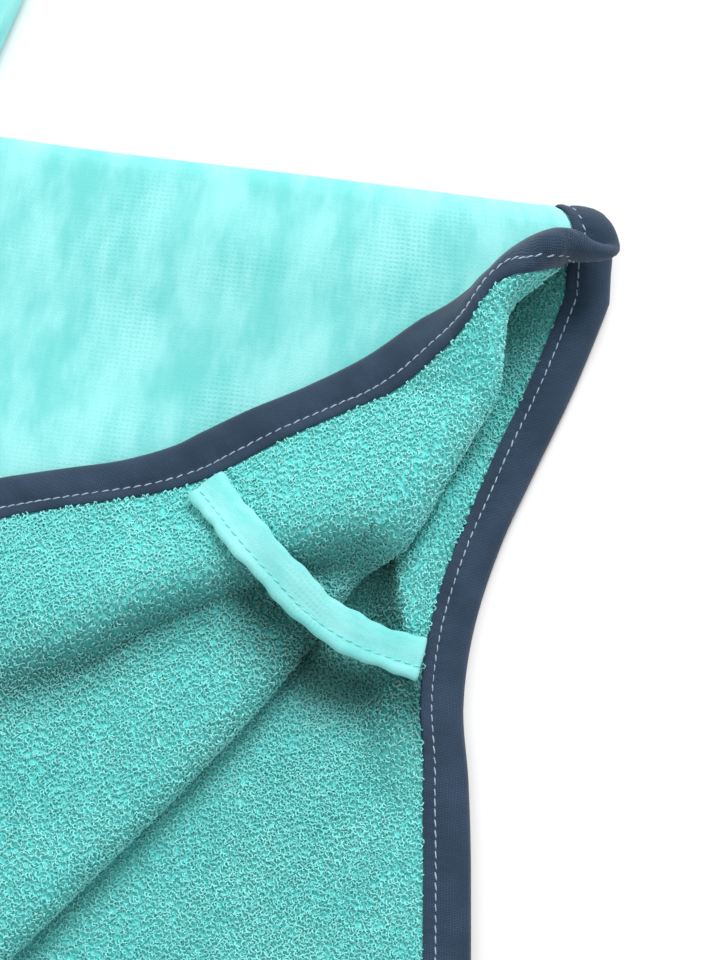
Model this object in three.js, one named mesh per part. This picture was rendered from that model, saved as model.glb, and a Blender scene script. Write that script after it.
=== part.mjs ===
import * as THREE from 'three';

// Sizes of the cut, in millimetres. The sheet is one length of cloth folded over the shoulders.
const HALF_WIDTH = 300;
const HALF_LENGTH = 575;
const HEM_CORNER = 60;
const NECK_HALF_WIDTH = 95;
const NECK_FRONT_DEPTH = 73;
const NECK_BACK_DEPTH = 28;
const NECK_GAP = 0.5;

// Walls
const CLOTH = 3;
const CLOTH_IN_BINDING = 1.6;
const BINDING_WIDTH = 12;
const BINDING_WALL = 1;
const BINDING_ROUNDING = 0.75;
const SEAM_GAP = 0.3;
const CLOTH_RECOVERY = 5;
const EDGE_EASE = 16;
const BINDING_HALF = CLOTH_IN_BINDING / 2 + SEAM_GAP + BINDING_WALL;

// Lay of the front over the back
const BACK_MID = CLOTH / 2;
const FRONT_MID = 5.8;
const FRONT_EDGE_LIFT = 1.3;
const FOLD_EASE = 45;
const HAND_LIFT = 3.5;
const HAND_LIFT_AT = { x: 262, y: -62, spread: 28 };

// Radius of the shoulder fold across the width
const FOLD_RADIUS = [
  { x: -300, r: 5 },
  { x: 125, r: 5 },
  { x: 210, r: 6.5 },
  { x: 300, r: 7.5 },
];

// Line about which the front's side is turned back, from the shoulder tip to past the hem
const TURN_LINE = [
  { x: 300, y: 0 },
  { x: 284, y: -18.5 },
  { x: 266.5, y: -45 },
  { x: 249.5, y: -77 },
  { x: 234, y: -109 },
  { x: 199, y: -165 },
  { x: 163.5, y: -214 },
  { x: 70, y: -331.5 },
  { x: -30, y: -457.2 },
  { x: -160, y: -620.6 },
];

// Where the turned side edge lies, by its length from the shoulder tip
const TURNED_EDGE = [
  { s: 40, x: 265.7, y: -10.2 },
  { s: 60, x: 254, y: -26.9 },
  { s: 75, x: 243.5, y: -36 },
  { s: 93, x: 230.3, y: -48.7 },
  { s: 113, x: 214.4, y: -59.9 },
  { s: 131, x: 199.5, y: -69.1 },
  { s: 147, x: 186.7, y: -78 },
  { s: 158, x: 179, y: -83.3 },
  { s: 172, x: 165.6, y: -89.4 },
  { s: 187, x: 150.5, y: -94.1 },
  { s: 205, x: 134.2, y: -99.2 },
];
const TURN_ALONG = { start: 3.2, full: 7, fullAt: 110, flatFrom: 300, flatAt: 520, flat: 3.2 };
const TURN_FIT_END = 330;
const TURN_FIT_SHORTEST = 6;
const TURN_SETTLE = 14;

// Heights of the turned-back cloth above the front
const TURNED_BASE = 6.4;
const BULGE = 11;
const BULGE_FROM_EDGE = { start: 6, full: 46 };
const VALLEY = [
  { x: 262, y: -104.5 },
  { x: 247.6, y: -105.9 },
  { x: 227.2, y: -111.7 },
  { x: 213.2, y: -119.8 },
  { x: 197.3, y: -129.1 },
  { x: 181.4, y: -138.4 },
  { x: 169.6, y: -147.1 },
  { x: 150, y: -159 },
  { x: 100, y: -183.5 },
];
const VALLEY_WALL = { start: -1, full: 11 };
const VALLEY_FADE = { from: 95, to: 165, height: 0.55 };
const CREST = { height: 8, full: 13, start: 4, fullAt: 26, fadeFrom: 48, fadeTo: 92 };
const LOWER_BULGE = 4.5;
const LOWER_BULGE_AT = { offset: 5, spread: 17, start: 128, full: 165, fade: 300, end: 420 };

// Sideways lay of the back's edge under the open side, and the ridge beside it
const BACK_EDGE_SHIFT = [
  { y: 0, dx: 0 },
  { y: -19, dx: -4 },
  { y: -45, dx: -10.4 },
  { y: -72, dx: -18.6 },
  { y: -95, dx: -25.2 },
  { y: -120, dx: -29.3 },
  { y: -143, dx: -29.1 },
  { y: -164, dx: -24.6 },
  { y: -189, dx: -20.3 },
  { y: -250, dx: -12 },
  { y: -360, dx: 0 },
];
const BACK_SHIFT_WIDTH = 110;

// How far the shoulder tip is drawn in, which rounds it
const TIP_PULL = [
  { y: -16, dx: 0 },
  { y: -7, dx: -2.6 },
  { y: 0, dx: -4.6 },
  { y: 5, dx: -8 },
  { y: 9, dx: -13 },
];
const TIP_PULL_WIDTH = 100;
const BACK_RIDGE = { height: 7.5, inset: 19, spread: 5.5, from: -150, to: -88, ease: 26 };

// Hood, lying flat above the neck
const HOOD_OUTLINE = [
  { x: 88.2, y: 8.5 },
  { x: 96, y: 34 },
  { x: 104, y: 80 },
  { x: 106, y: 130 },
  { x: 98, y: 185 },
  { x: 74, y: 236 },
  { x: 38, y: 267 },
  { x: 0.15, y: 277 },
];
const HOOD_FOLD_RADIUS = 5;
const HOOD_FACE = [
  { x: 3.6, y: -64.3 },
  { x: 9, y: -52 },
  { x: 27, y: -8 },
  { x: 45, y: 52 },
  { x: 52, y: 112 },
  { x: 43, y: 166 },
  { x: 22, y: 200 },
  { x: 0.15, y: 209 },
];
const HOOD_FACE_MID = 10.2;
const HOOD_SEAM_TOP = 190;
const HOOD_NECK = { fade: 6, rise: 4, backFrom: 0.7, frontTo: 0.2 };
const HOOD_FRONT_SPAN = 0.72;
const HOOD_ROWS = 18;
const HOOD_BACK_COLS = 5;
const HOOD_FOLD_COLS = 4;
const HOOD_FRONT_COLS = 3;

// Side straps
const STRAP_WIDTH = 12;
const STRAP_THICK = 3.6;
const STRAP_STEPS = 14;
const STRAP_ROUNDING = 1.4;
const LEFT_STRAP_LIFT = { height: 9, across: 30, along: 26 };
const LEFT_STRAP_AT = 135;
const STRAP_RIGHT = [
  { x: 189.8, y: -93.5, z: 17.9 },
  { x: 196, y: -99.8, z: 21.2 },
  { x: 203.6, y: -107.4, z: 25.7 },
  { x: 215.3, y: -116.7, z: 23.6 },
  { x: 227.7, y: -125.3, z: 18.9 },
  { x: 240, y: -130.1, z: 15.8 },
  { x: 251, y: -132.1, z: 13.4 },
  { x: 258.2, y: -132.8, z: 11.2 },
];
const STRAP_LEFT = [
  { x: -279, z: 5.4 },
  { x: -284, z: 5.8 },
  { x: -289, z: 6.5 },
  { x: -300, z: 6.5 },
  { x: -320, z: 6.4 },
  { x: -334, z: 7.3 },
  { x: -337.5, z: 9.2 },
  { x: -334, z: 10.6 },
  { x: -320, z: 10.6 },
  { x: -300, z: 10.4 },
  { x: -280, z: 9.9 },
];

// Spacing of the sheet's points
const FINE = 10;
const COARSE = 31;
const LEVELS = [FINE, 15, 22, COARSE];
const LEVEL_REACH = 3.5;
const FILL_GAP = 0.78;
const FILL_EASE = 0.9;
const FILL_WOBBLE = 0.02;
const FILL_MARGIN = 3;
const EDGE_ROW_GAP = 3;
const NECK_POINTS = 40;
const NECK_CLEAR = 5;
const FOLD_ROWS = { shares: [-1, -0.5, 0, 0.5, 1, 1.6, -1.6], gap: 3.4, wide: 22, closeFrom: 110 };
const TURN_ROWS = {
  shares: [0, 0.25, 0.5, 0.75, 1, 1.5, -0.5],
  gap: 2.4,
  start: 4,
  close: 8.5,
  closeTo: 290,
  wide: 21,
  below: -3,
};

// Parts of the cut where points lie closer: their ranges, the spacing there and its growth away from them
const EDGE_SPACING = [
  { place: 'shoulder tip', x: [300, 300], t: [-14, 40], step: 3.4, growth: 0.3 },
  { place: 'open side', x: [300, 300], t: [-230, 270], step: 9.5, growth: 0.35 },
  { place: 'turn at the hem', x: [-133, -115], t: [575, 575], step: 3.4, growth: 0.3 },
  { place: 'left shoulder fold', x: [-300, -300], t: [-9, 9], step: 4, growth: 0.35 },
  { place: 'left strap on the front', x: [-300, -300], t: [110, 160], step: 15, growth: 0.4 },
  { place: 'left strap on the back', x: [-300, -300], t: [-160, -110], step: 15, growth: 0.4 },
];
const EDGE_SPACING_MOST = 40;
const FILL_SPACING = [
  { place: 'open side of the front', x: [120, 300], t: [20, 250], step: FINE, growth: 0.22 },
  { place: 'open side of the back', x: [215, 300], t: [-240, -20], step: FINE, growth: 0.22 },
  { place: 'neck', x: [-95, 95], t: [-30, 75], step: 16, growth: 0.3 },
];

// Steps over which slopes are read, on the cut in millimetres and on the hood as shares
const SLOPE_STEP = 0.6;
const HOOD_SLOPE = { step: 0.004, s: [0.012, 0.988], v: [0.02, 2.98] };

const TWO_PI = 2 * Math.PI;
const clamp = (v, lo, hi) => Math.min(hi, Math.max(lo, v));
const lerp = (a, b, t) => a + (b - a) * t;
const smooth = (v, lo, hi) => {
  const t = clamp((v - lo) / (hi - lo), 0, 1);
  return t * t * (3 - 2 * t);
};
const bell = (v, spread) => Math.exp(-(v * v) / (2 * spread * spread));

// Smooth value of a table column at a key, with flat ends
function tableAt(rows, key, column, value) {
  const first = rows[0];
  const last = rows[rows.length - 1];
  const sign = Math.sign(last[key] - first[key]);
  const v = value * sign;
  if (v <= first[key] * sign) {
    return first[column];
  }
  if (v >= last[key] * sign) {
    return last[column];
  }
  let i = 0;
  while (rows[i + 1][key] * sign < v) {
    i += 1;
  }
  const slope = (j) => {
    const a = rows[Math.max(0, j - 1)];
    const b = rows[Math.min(rows.length - 1, j + 1)];
    return (b[column] - a[column]) / (b[key] - a[key]);
  };
  const p = rows[i];
  const q = rows[i + 1];
  const h = q[key] - p[key];
  const t = (value - p[key]) / h;
  const t2 = t * t;
  const t3 = t2 * t;
  return (
    (2 * t3 - 3 * t2 + 1) * p[column] +
    (t3 - 2 * t2 + t) * h * slope(i) +
    (3 * t2 - 2 * t3) * q[column] +
    (t3 - t2) * h * slope(i + 1)
  );
}

// Dense smooth curve in equal steps, read by length
class PlaneCurve {
  constructor(rows, step) {
    const curve = new THREE.CatmullRomCurve3(
      rows.map((r) => new THREE.Vector3(r.x, r.y, r.z ?? 0)),
      false,
      'centripetal',
    );
    const count = Math.round(curve.getLength() / step);
    this.points = curve.getSpacedPoints(count);
    this.step = curve.getLength() / count;
    this.length = this.step * count;
  }

  at(a) {
    const u = clamp(a / this.step, 0, this.points.length - 1.001);
    const i = Math.floor(u);
    const p = this.points[i];
    const q = this.points[i + 1];
    const t = a / this.step - i;
    return { x: lerp(p.x, q.x, t), y: lerp(p.y, q.y, t), z: lerp(p.z, q.z, t) };
  }

  // Unit tangent, evened over a few steps
  tangent(a) {
    const reach = 3 * this.step;
    const p = this.at(Math.max(0, a - reach));
    const q = this.at(Math.min(this.length, a + reach));
    const n = Math.hypot(q.x - p.x, q.y - p.y);
    return { x: (q.x - p.x) / n, y: (q.y - p.y) / n };
  }

  // Length along and signed distance, positive to the left of the way down the curve
  locate(x, y) {
    let best = Infinity;
    let at = 0;
    for (let i = 0; i < this.points.length; i += 1) {
      const p = this.points[i];
      const d = (p.x - x) ** 2 + (p.y - y) ** 2;
      if (d < best) {
        best = d;
        at = i;
      }
    }
    let a = at * this.step;
    for (let k = 0; k < 4; k += 1) {
      const p = this.at(a);
      const t = this.tangent(a);
      a = clamp(a + (x - p.x) * t.x + (y - p.y) * t.y, 0, this.length);
    }
    const p = this.at(a);
    const t = this.tangent(a);
    return { a, d: (y - p.y) * t.x - (x - p.x) * t.y };
  }
}

const turnLine = new PlaneCurve(TURN_LINE, 2);
const valley = new PlaneCurve(VALLEY, 3);
const turnedEdge = new PlaneCurve([{ x: HALF_WIDTH, y: 0 }, ...TURNED_EDGE, { x: -60, y: -147 }], 3);

const foldRadius = (x) => tableAt(FOLD_RADIUS, 'x', 'r', x);

// Distance of a point of the cut from its outer edge
function edgeDistance(x, t) {
  const ax = HALF_WIDTH - HEM_CORNER - Math.abs(x);
  const at = HALF_LENGTH - HEM_CORNER - Math.abs(t);
  if (ax < 0 && at < 0) {
    return HEM_CORNER - Math.hypot(ax, at);
  }
  return HEM_CORNER + Math.min(ax, at);
}

const edgeLift = (x, t) => 1 - smooth(edgeDistance(x, t), BINDING_WIDTH, BINDING_WIDTH + EDGE_EASE);

// Lay of the back: sideways shift and height of its middle surface
function backLay(x, y, t) {
  const near = smooth(x, HALF_WIDTH - BACK_SHIFT_WIDTH, HALF_WIDTH - BINDING_WIDTH);
  const px = x + near * tableAt(BACK_EDGE_SHIFT, 'y', 'dx', y);
  const inset = HALF_WIDTH - x;
  const along =
    smooth(-y, -BACK_RIDGE.to - BACK_RIDGE.ease, -BACK_RIDGE.to) *
    (1 - smooth(-y, -BACK_RIDGE.from, -BACK_RIDGE.from + BACK_RIDGE.ease));
  const ridge = BACK_RIDGE.height * along * bell(inset - BACK_RIDGE.inset, BACK_RIDGE.spread);
  const z = BACK_MID + (BINDING_HALF - BACK_MID) * edgeLift(x, t) + ridge;
  return { x: px, y, z };
}

// Height of the front's middle surface before its side is turned back
function frontHeight(x, y, t) {
  const spread = HAND_LIFT_AT.spread;
  const hand = HAND_LIFT * bell(Math.hypot(x - HAND_LIFT_AT.x, y - HAND_LIFT_AT.y), spread);
  const flat = FRONT_MID + FRONT_EDGE_LIFT * edgeLift(x, t) + hand;
  const room = LEFT_STRAP_LIFT;
  const strapSide =
    room.height * bell(x + HALF_WIDTH, room.across) * bell(y + LEFT_STRAP_AT, room.along);
  const fold = foldBottom(x) + 2 * foldRadius(x);
  return lerp(flat + strapSide, fold, Math.exp(-((y / FOLD_EASE) ** 2)));
}
const foldBottom = (x) => BACK_MID + (BINDING_HALF - BACK_MID) * edgeLift(x, 0);

// Height of the turned-back cloth above the front, over the plan
function turnedRise(x, y) {
  const edge = turnedEdge.locate(x, y).d;
  const cut = valley.locate(x, y);
  const fold = turnLine.locate(x, y);
  const fade = 1 - smooth(cut.a, VALLEY_FADE.from, VALLEY_FADE.to);
  const wall = lerp(1, smooth(-cut.d, VALLEY_WALL.start, VALLEY_WALL.full), fade);
  const far = 1 - smooth(fold.a, LOWER_BULGE_AT.fade, LOWER_BULGE_AT.end);
  const upper = BULGE * smooth(edge, BULGE_FROM_EDGE.start, BULGE_FROM_EDGE.full) * wall * far;
  const lower =
    LOWER_BULGE *
    bell(-fold.d - LOWER_BULGE_AT.offset, LOWER_BULGE_AT.spread) *
    smooth(fold.a, LOWER_BULGE_AT.start, LOWER_BULGE_AT.full) *
    far;
  const crest =
    CREST.height *
    smooth(edge, 0, CREST.full) *
    smooth(fold.a, CREST.start, CREST.fullAt) *
    (1 - smooth(fold.a, CREST.fadeFrom, CREST.fadeTo));
  return TURNED_BASE + Math.max(upper * lerp(1, VALLEY_FADE.height, 1 - fade), lower, crest);
}

// Radius of cloth taken up by the turn, along the turn line
function turnTake(a) {
  const t = TURN_ALONG;
  const rising = lerp(t.start, t.full, smooth(a, 0, t.fullAt));
  return lerp(rising, t.flat, smooth(a, t.flatFrom, t.flatAt));
}

// The side edge met by the line across the turn at a length along it
function sideEdgeAt(a) {
  const p = turnLine.at(a);
  const t = turnLine.tangent(a);
  const reach = (HALF_WIDTH - p.x) / -t.y;
  const bare = reach - Math.PI * turnTake(a);
  return { reach, s: -(p.y + t.x * reach), x: p.x + t.y * bare, y: p.y - t.x * bare };
}

const fitSpan = [TURNED_EDGE[0].s, TURNED_EDGE[TURNED_EDGE.length - 1].s].map((s) => {
  let a = 0;
  while (sideEdgeAt(a).s < s) {
    a += 0.5;
  }
  return a;
});

// Offset of the turned edge from where the bare turn would put it
function edgeFit(a) {
  if (a > TURN_FIT_END) {
    return { x: 0, y: 0, reach: 1 };
  }
  const key = sideEdgeAt(clamp(a, fitSpan[0], fitSpan[1]));
  const share = smooth(a, 0, fitSpan[0]) * (1 - smooth(a, fitSpan[1], TURN_FIT_END));
  return {
    x: share * (tableAt(TURNED_EDGE, 's', 'x', key.s) - key.x),
    y: share * (tableAt(TURNED_EDGE, 's', 'y', key.s) - key.y),
    reach: sideEdgeAt(a).reach,
  };
}

// Lay of a point of the cut before the shoulder tip is drawn in: x across, t along, back below zero
function laidMid(x, t) {
  const r = foldRadius(x);
  const half = (Math.PI * r) / 2;
  if (t < -half) {
    return backLay(x, t + half, t);
  }
  const low = foldBottom(x);
  if (t < half) {
    const turn = (t + half) / r;
    return { x, y: r * Math.sin(turn), z: low + r * (1 - Math.cos(turn)) };
  }
  const y = half - t;
  const { a, d } = turnLine.locate(x, y);
  if (d <= 0) {
    return { x, y, z: frontHeight(x, y, t) };
  }
  const p = turnLine.at(a);
  const tan = turnLine.tangent(a);
  const n = { x: -tan.y, y: tan.x };
  const width = Math.PI * turnTake(a);
  const zf = (px, py) => frontHeight(px, py, HALF_LENGTH / 2);
  const ground = frontHeight(p.x, p.y, half - p.y);
  if (d < width) {
    const radius = turnedRise(p.x, p.y) / 2;
    const turn = (Math.PI * d) / width;
    const out = radius * Math.sin(turn);
    return {
      x: p.x + n.x * out,
      y: p.y + n.y * out,
      z: ground + radius * (1 - Math.cos(turn)),
    };
  }
  const fit = edgeFit(a);
  const share = smooth(d - width, 0, Math.max(TURN_FIT_SHORTEST, fit.reach - width - BINDING_WIDTH));
  const px = p.x - n.x * (d - width) + fit.x * share;
  const py = p.y - n.y * (d - width) + fit.y * share;
  const settle = smooth(d - width, 0, TURN_SETTLE);
  return { x: px, y: py, z: lerp(ground, zf(px, py), settle) + turnedRise(px, py) };
}

// The sheet's middle surface for a point of the cut
function sheetMid(x, t) {
  const m = laidMid(x, t);
  const near = smooth(m.x, HALF_WIDTH - TIP_PULL_WIDTH, HALF_WIDTH);
  return { x: m.x + near * tableAt(TIP_PULL, 'y', 'dx', m.y), y: m.y, z: m.z };
}

// Middle point and unit normal, on the side that faces into the garment
function sheetFrame(x, t) {
  const h = SLOPE_STEP;
  const m = sheetMid(x, t);
  const a = sheetMid(x - h, t);
  const b = sheetMid(x + h, t);
  const c = sheetMid(x, t - h);
  const e = sheetMid(x, t + h);
  const across = new THREE.Vector3(b.x - a.x, b.y - a.y, b.z - a.z);
  const along = new THREE.Vector3(e.x - c.x, e.y - c.y, e.z - c.z);
  return { p: new THREE.Vector3(m.x, m.y, m.z), n: across.cross(along).normalize() };
}

// Outer edge of the cut as a closed curve by length, with the inward normal
const SIDE = 2 * (HALF_LENGTH - HEM_CORNER);
const HEM = 2 * (HALF_WIDTH - HEM_CORNER);
const ARC = (Math.PI / 2) * HEM_CORNER;
const PERIMETER = 2 * (SIDE + HEM) + 4 * ARC;

function outlineAt(length) {
  const legs = [
    { size: SIDE, x: HALF_WIDTH, t: -SIDE / 2, heading: Math.PI / 2 },
    { size: HEM, x: HEM / 2, t: HALF_LENGTH, heading: Math.PI },
    { size: SIDE, x: -HALF_WIDTH, t: SIDE / 2, heading: 1.5 * Math.PI },
    { size: HEM, x: -HEM / 2, t: -HALF_LENGTH, heading: TWO_PI },
  ];
  let rest = length;
  for (const leg of legs) {
    const dx = Math.cos(leg.heading);
    const dt = Math.sin(leg.heading);
    if (rest <= leg.size) {
      return { x: leg.x + dx * rest, t: leg.t + dt * rest, nx: -dt, nt: dx };
    }
    rest -= leg.size;
    if (rest <= ARC) {
      const cx = leg.x + dx * leg.size - dt * HEM_CORNER;
      const ct = leg.t + dt * leg.size + dx * HEM_CORNER;
      const turn = leg.heading - Math.PI / 2 + rest / HEM_CORNER;
      const ux = Math.cos(turn);
      const ut = Math.sin(turn);
      return { x: cx + ux * HEM_CORNER, t: ct + ut * HEM_CORNER, nx: -ux, nt: -ut };
    }
    rest -= ARC;
  }
  return outlineAt(0);
}

// Spacing wanted at a point of the cut
const rangeGap = (v, [lo, hi]) => Math.max(0, lo - v, v - hi);

function spacingAt(places, most, x, t) {
  const wanted = places.map((p) => p.step + p.growth * Math.hypot(rangeGap(x, p.x), rangeGap(t, p.t)));
  return Math.min(most, ...wanted);
}

function spacedOutline() {
  const fine = 1;
  const count = Math.round(PERIMETER / fine);
  const sums = [0];
  for (let i = 0; i < count; i += 1) {
    const o = outlineAt(((i + 0.5) * PERIMETER) / count);
    const step = spacingAt(EDGE_SPACING, EDGE_SPACING_MOST, o.x, o.t);
    sums.push(sums[i] + PERIMETER / count / step);
  }
  const wanted = Math.round(sums[count]);
  const out = [];
  let i = 0;
  for (let k = 0; k < wanted; k += 1) {
    const target = (k * sums[count]) / wanted;
    while (sums[i + 1] <= target) {
      i += 1;
    }
    const t = (target - sums[i]) / (sums[i + 1] - sums[i]);
    out.push(outlineAt(((i + t) * PERIMETER) / count));
  }
  return out;
}

const inNeck = (x, t, grow) => {
  const depth = t > 0 ? NECK_FRONT_DEPTH : NECK_BACK_DEPTH;
  return (x / (NECK_HALF_WIDTH + grow)) ** 2 + (t / (depth + grow)) ** 2 < 1;
};

// Triangles over points of the plane, by inserting one point at a time
function triangulate(points) {
  const far = 1e5;
  const all = [...points, { x: -far, t: -far }, { x: far, t: -far }, { x: 0, t: far }];
  const circle = (a, b, c) => {
    const A = all[a];
    const B = all[b];
    const C = all[c];
    const d = 2 * ((B.x - A.x) * (C.t - A.t) - (B.t - A.t) * (C.x - A.x));
    const b2 = (B.x - A.x) ** 2 + (B.t - A.t) ** 2;
    const c2 = (C.x - A.x) ** 2 + (C.t - A.t) ** 2;
    const ux = ((C.t - A.t) * b2 - (B.t - A.t) * c2) / d;
    const ut = ((B.x - A.x) * c2 - (C.x - A.x) * b2) / d;
    return { v: [a, b, c], x: A.x + ux, t: A.t + ut, r2: ux * ux + ut * ut };
  };
  const n = points.length;
  let list = [circle(n, n + 1, n + 2)];
  for (let i = 0; i < n; i += 1) {
    const p = all[i];
    const edges = new Map();
    const kept = [];
    for (const tri of list) {
      if ((p.x - tri.x) ** 2 + (p.t - tri.t) ** 2 >= tri.r2) {
        kept.push(tri);
        continue;
      }
      for (let k = 0; k < 3; k += 1) {
        const a = tri.v[k];
        const b = tri.v[(k + 1) % 3];
        const back = `${b},${a}`;
        if (edges.has(back)) {
          edges.delete(back);
        } else {
          edges.set(`${a},${b}`, [a, b]);
        }
      }
    }
    for (const [a, b] of edges.values()) {
      kept.push(circle(a, b, i));
    }
    list = kept;
  }
  return list.map((tri) => tri.v).filter((v) => Math.max(...v) < n);
}

// Closed solid from vertices and faces
class Builder {
  constructor() {
    this.positions = [];
    this.faces = [];
  }

  vertex(p) {
    this.positions.push(p.x, p.y, p.z);
    return this.positions.length / 3 - 1;
  }

  face(a, b, c) {
    this.faces.push(a, b, c);
  }

  quad(a, b, c, d) {
    this.face(a, b, c);
    this.face(a, c, d);
  }

  mesh(name, color) {
    const geometry = new THREE.BufferGeometry();
    geometry.setAttribute('position', new THREE.Float32BufferAttribute(this.positions, 3));
    geometry.setIndex(this.faces);
    geometry.computeVertexNormals();
    const material = new THREE.MeshStandardMaterial({ color, roughness: 0.95 });
    const mesh = new THREE.Mesh(geometry, material);
    mesh.name = name;
    return mesh;
  }
}

const offset = (frame, side, push = 0, out = null) => {
  const p = frame.p.clone().addScaledVector(frame.n, side);
  return out ? p.addScaledVector(out, push) : p;
};

const CLOTH_COLOR = 0x7fe0dc;
const BINDING_COLOR = 0x4b6a88;
const STRAP_COLOR = 0x95e6e3;

// Rows of the sheet along its bound edge, shared by the sheet and its binding
const ROW_INSETS = [0, BINDING_WIDTH / 2, BINDING_WIDTH];

function edgeRows() {
  const outline = spacedOutline();
  return outline.map((o) =>
    ROW_INSETS.map((e) => ({ x: o.x + o.nx * e, t: o.t + o.nt * e, nx: o.nx, nt: o.nt })),
  );
}

// Points of the sheet inside its bound edge
function fillPoints(rows) {
  const points = rows.map((row) => ({ x: row[2].x, t: row[2].t }));
  const inset = BINDING_WIDTH + CLOTH_RECOVERY;
  const clear = (x, t, gap) => {
    const g2 = gap * gap;
    return points.every((p) => (p.x - x) ** 2 + (p.t - t) ** 2 >= g2);
  };
  const add = (x, t, gap, margin = inset - 0.01) => {
    if (edgeDistance(x, t) >= margin && !inNeck(x, t, NECK_CLEAR) && clear(x, t, gap)) {
      points.push({ x, t });
    }
  };
  for (const row of rows) {
    const x = row[0].x + row[0].nx * inset;
    const t = row[0].t + row[0].nt * inset;
    add(x, t, EDGE_ROW_GAP);
  }
  const neck = [];
  for (let i = 0; i < NECK_POINTS; i += 1) {
    const turn = ((i + 0.5) * TWO_PI) / NECK_POINTS;
    const depth = Math.sin(turn) > 0 ? NECK_FRONT_DEPTH : NECK_BACK_DEPTH;
    const p = { x: NECK_HALF_WIDTH * Math.cos(turn), t: depth * Math.sin(turn) };
    neck.push(points.length);
    points.push(p);
  }
  const lastX = HALF_WIDTH - inset + 0.1;
  for (let x = -HALF_WIDTH + inset; x <= lastX; x += x > FOLD_ROWS.closeFrom ? FINE : FOLD_ROWS.wide) {
    const half = (Math.PI * foldRadius(x)) / 2;
    for (const share of FOLD_ROWS.shares) {
      add(x, share * half, FOLD_ROWS.gap);
    }
  }
  const turns = TURN_ROWS;
  for (let a = turns.start; a < turnLine.length; a += a < turns.closeTo ? turns.close : turns.wide) {
    const p = turnLine.at(a);
    const tan = turnLine.tangent(a);
    const width = Math.PI * turnTake(a);
    const half = (Math.PI * foldRadius(p.x)) / 2;
    for (const share of turns.shares) {
      const x = p.x - tan.y * width * share;
      const y = p.y + tan.x * width * share;
      if (y < turns.below) {
        add(x, half - y, turns.gap);
      }
    }
  }
  for (const level of LEVELS) {
    const rise = (level * Math.sqrt(3)) / 2;
    let odd = 0;
    for (let t = -HALF_LENGTH; t < HALF_LENGTH; t += rise) {
      odd = 1 - odd;
      for (let x = -HALF_WIDTH + (odd * level) / 2; x < HALF_WIDTH; x += level) {
        const wanted = spacingAt(FILL_SPACING, COARSE, x, t);
        const wobble = FILL_WOBBLE * Math.sin(x * 1.7 + t * 2.3);
        if (wanted < level + LEVEL_REACH) {
          const gap = FILL_GAP * Math.max(level, wanted * FILL_EASE);
          add(x + wobble, t - wobble, gap, inset + FILL_MARGIN);
        }
      }
    }
  }
  return { points, neck };
}

function buildSheet(rows) {
  const { points, neck } = fillPoints(rows);
  const builder = new Builder();
  const count = rows.length;
  const halfAt = (x, t) => {
    const eased = smooth(edgeDistance(x, t), BINDING_WIDTH + 0.1, BINDING_WIDTH + CLOTH_RECOVERY);
    return lerp(CLOTH_IN_BINDING, CLOTH, eased) / 2;
  };
  const pair = (x, t) => {
    const frame = sheetFrame(x, t);
    const half = halfAt(x, t);
    return [builder.vertex(offset(frame, half)), builder.vertex(offset(frame, -half))];
  };
  const inner = points.map((p) => pair(p.x, p.t));
  const outer = rows.map((row) => [pair(row[0].x, row[0].t), pair(row[1].x, row[1].t)]);
  const hole = new Set(neck);
  for (const [a, b, c] of triangulate(points)) {
    const A = points[a];
    const B = points[b];
    const C = points[c];
    const area = (B.x - A.x) * (C.t - A.t) - (B.t - A.t) * (C.x - A.x);
    const spansHole = hole.has(a) && hole.has(b) && hole.has(c);
    if (Math.abs(area) < 1e-5 || spansHole) {
      continue;
    }
    const [i, j, k] = area > 0 ? [a, b, c] : [a, c, b];
    builder.face(inner[i][0], inner[j][0], inner[k][0]);
    builder.face(inner[i][1], inner[k][1], inner[j][1]);
  }
  for (let i = 0; i < count; i += 1) {
    const j = (i + 1) % count;
    const strips = [
      [outer[i][0], outer[j][0], outer[j][1], outer[i][1]],
      [outer[i][1], outer[j][1], inner[j], inner[i]],
    ];
    for (const [a, b, c, d] of strips) {
      builder.quad(a[0], b[0], c[0], d[0]);
      builder.quad(a[1], d[1], c[1], b[1]);
    }
    builder.quad(outer[i][0][0], outer[i][0][1], outer[j][0][1], outer[j][0][0]);
  }
  for (let i = 0; i < neck.length; i += 1) {
    const a = inner[neck[i]];
    const b = inner[neck[(i + 1) % neck.length]];
    builder.quad(a[0], b[0], b[1], a[1]);
  }
  return builder.mesh('body', CLOTH_COLOR);
}

// Sides of the binding's section whose faces split the other way, as the cloth's outer side does
const FLIPPED = [3, 4, 6, 7];

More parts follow.
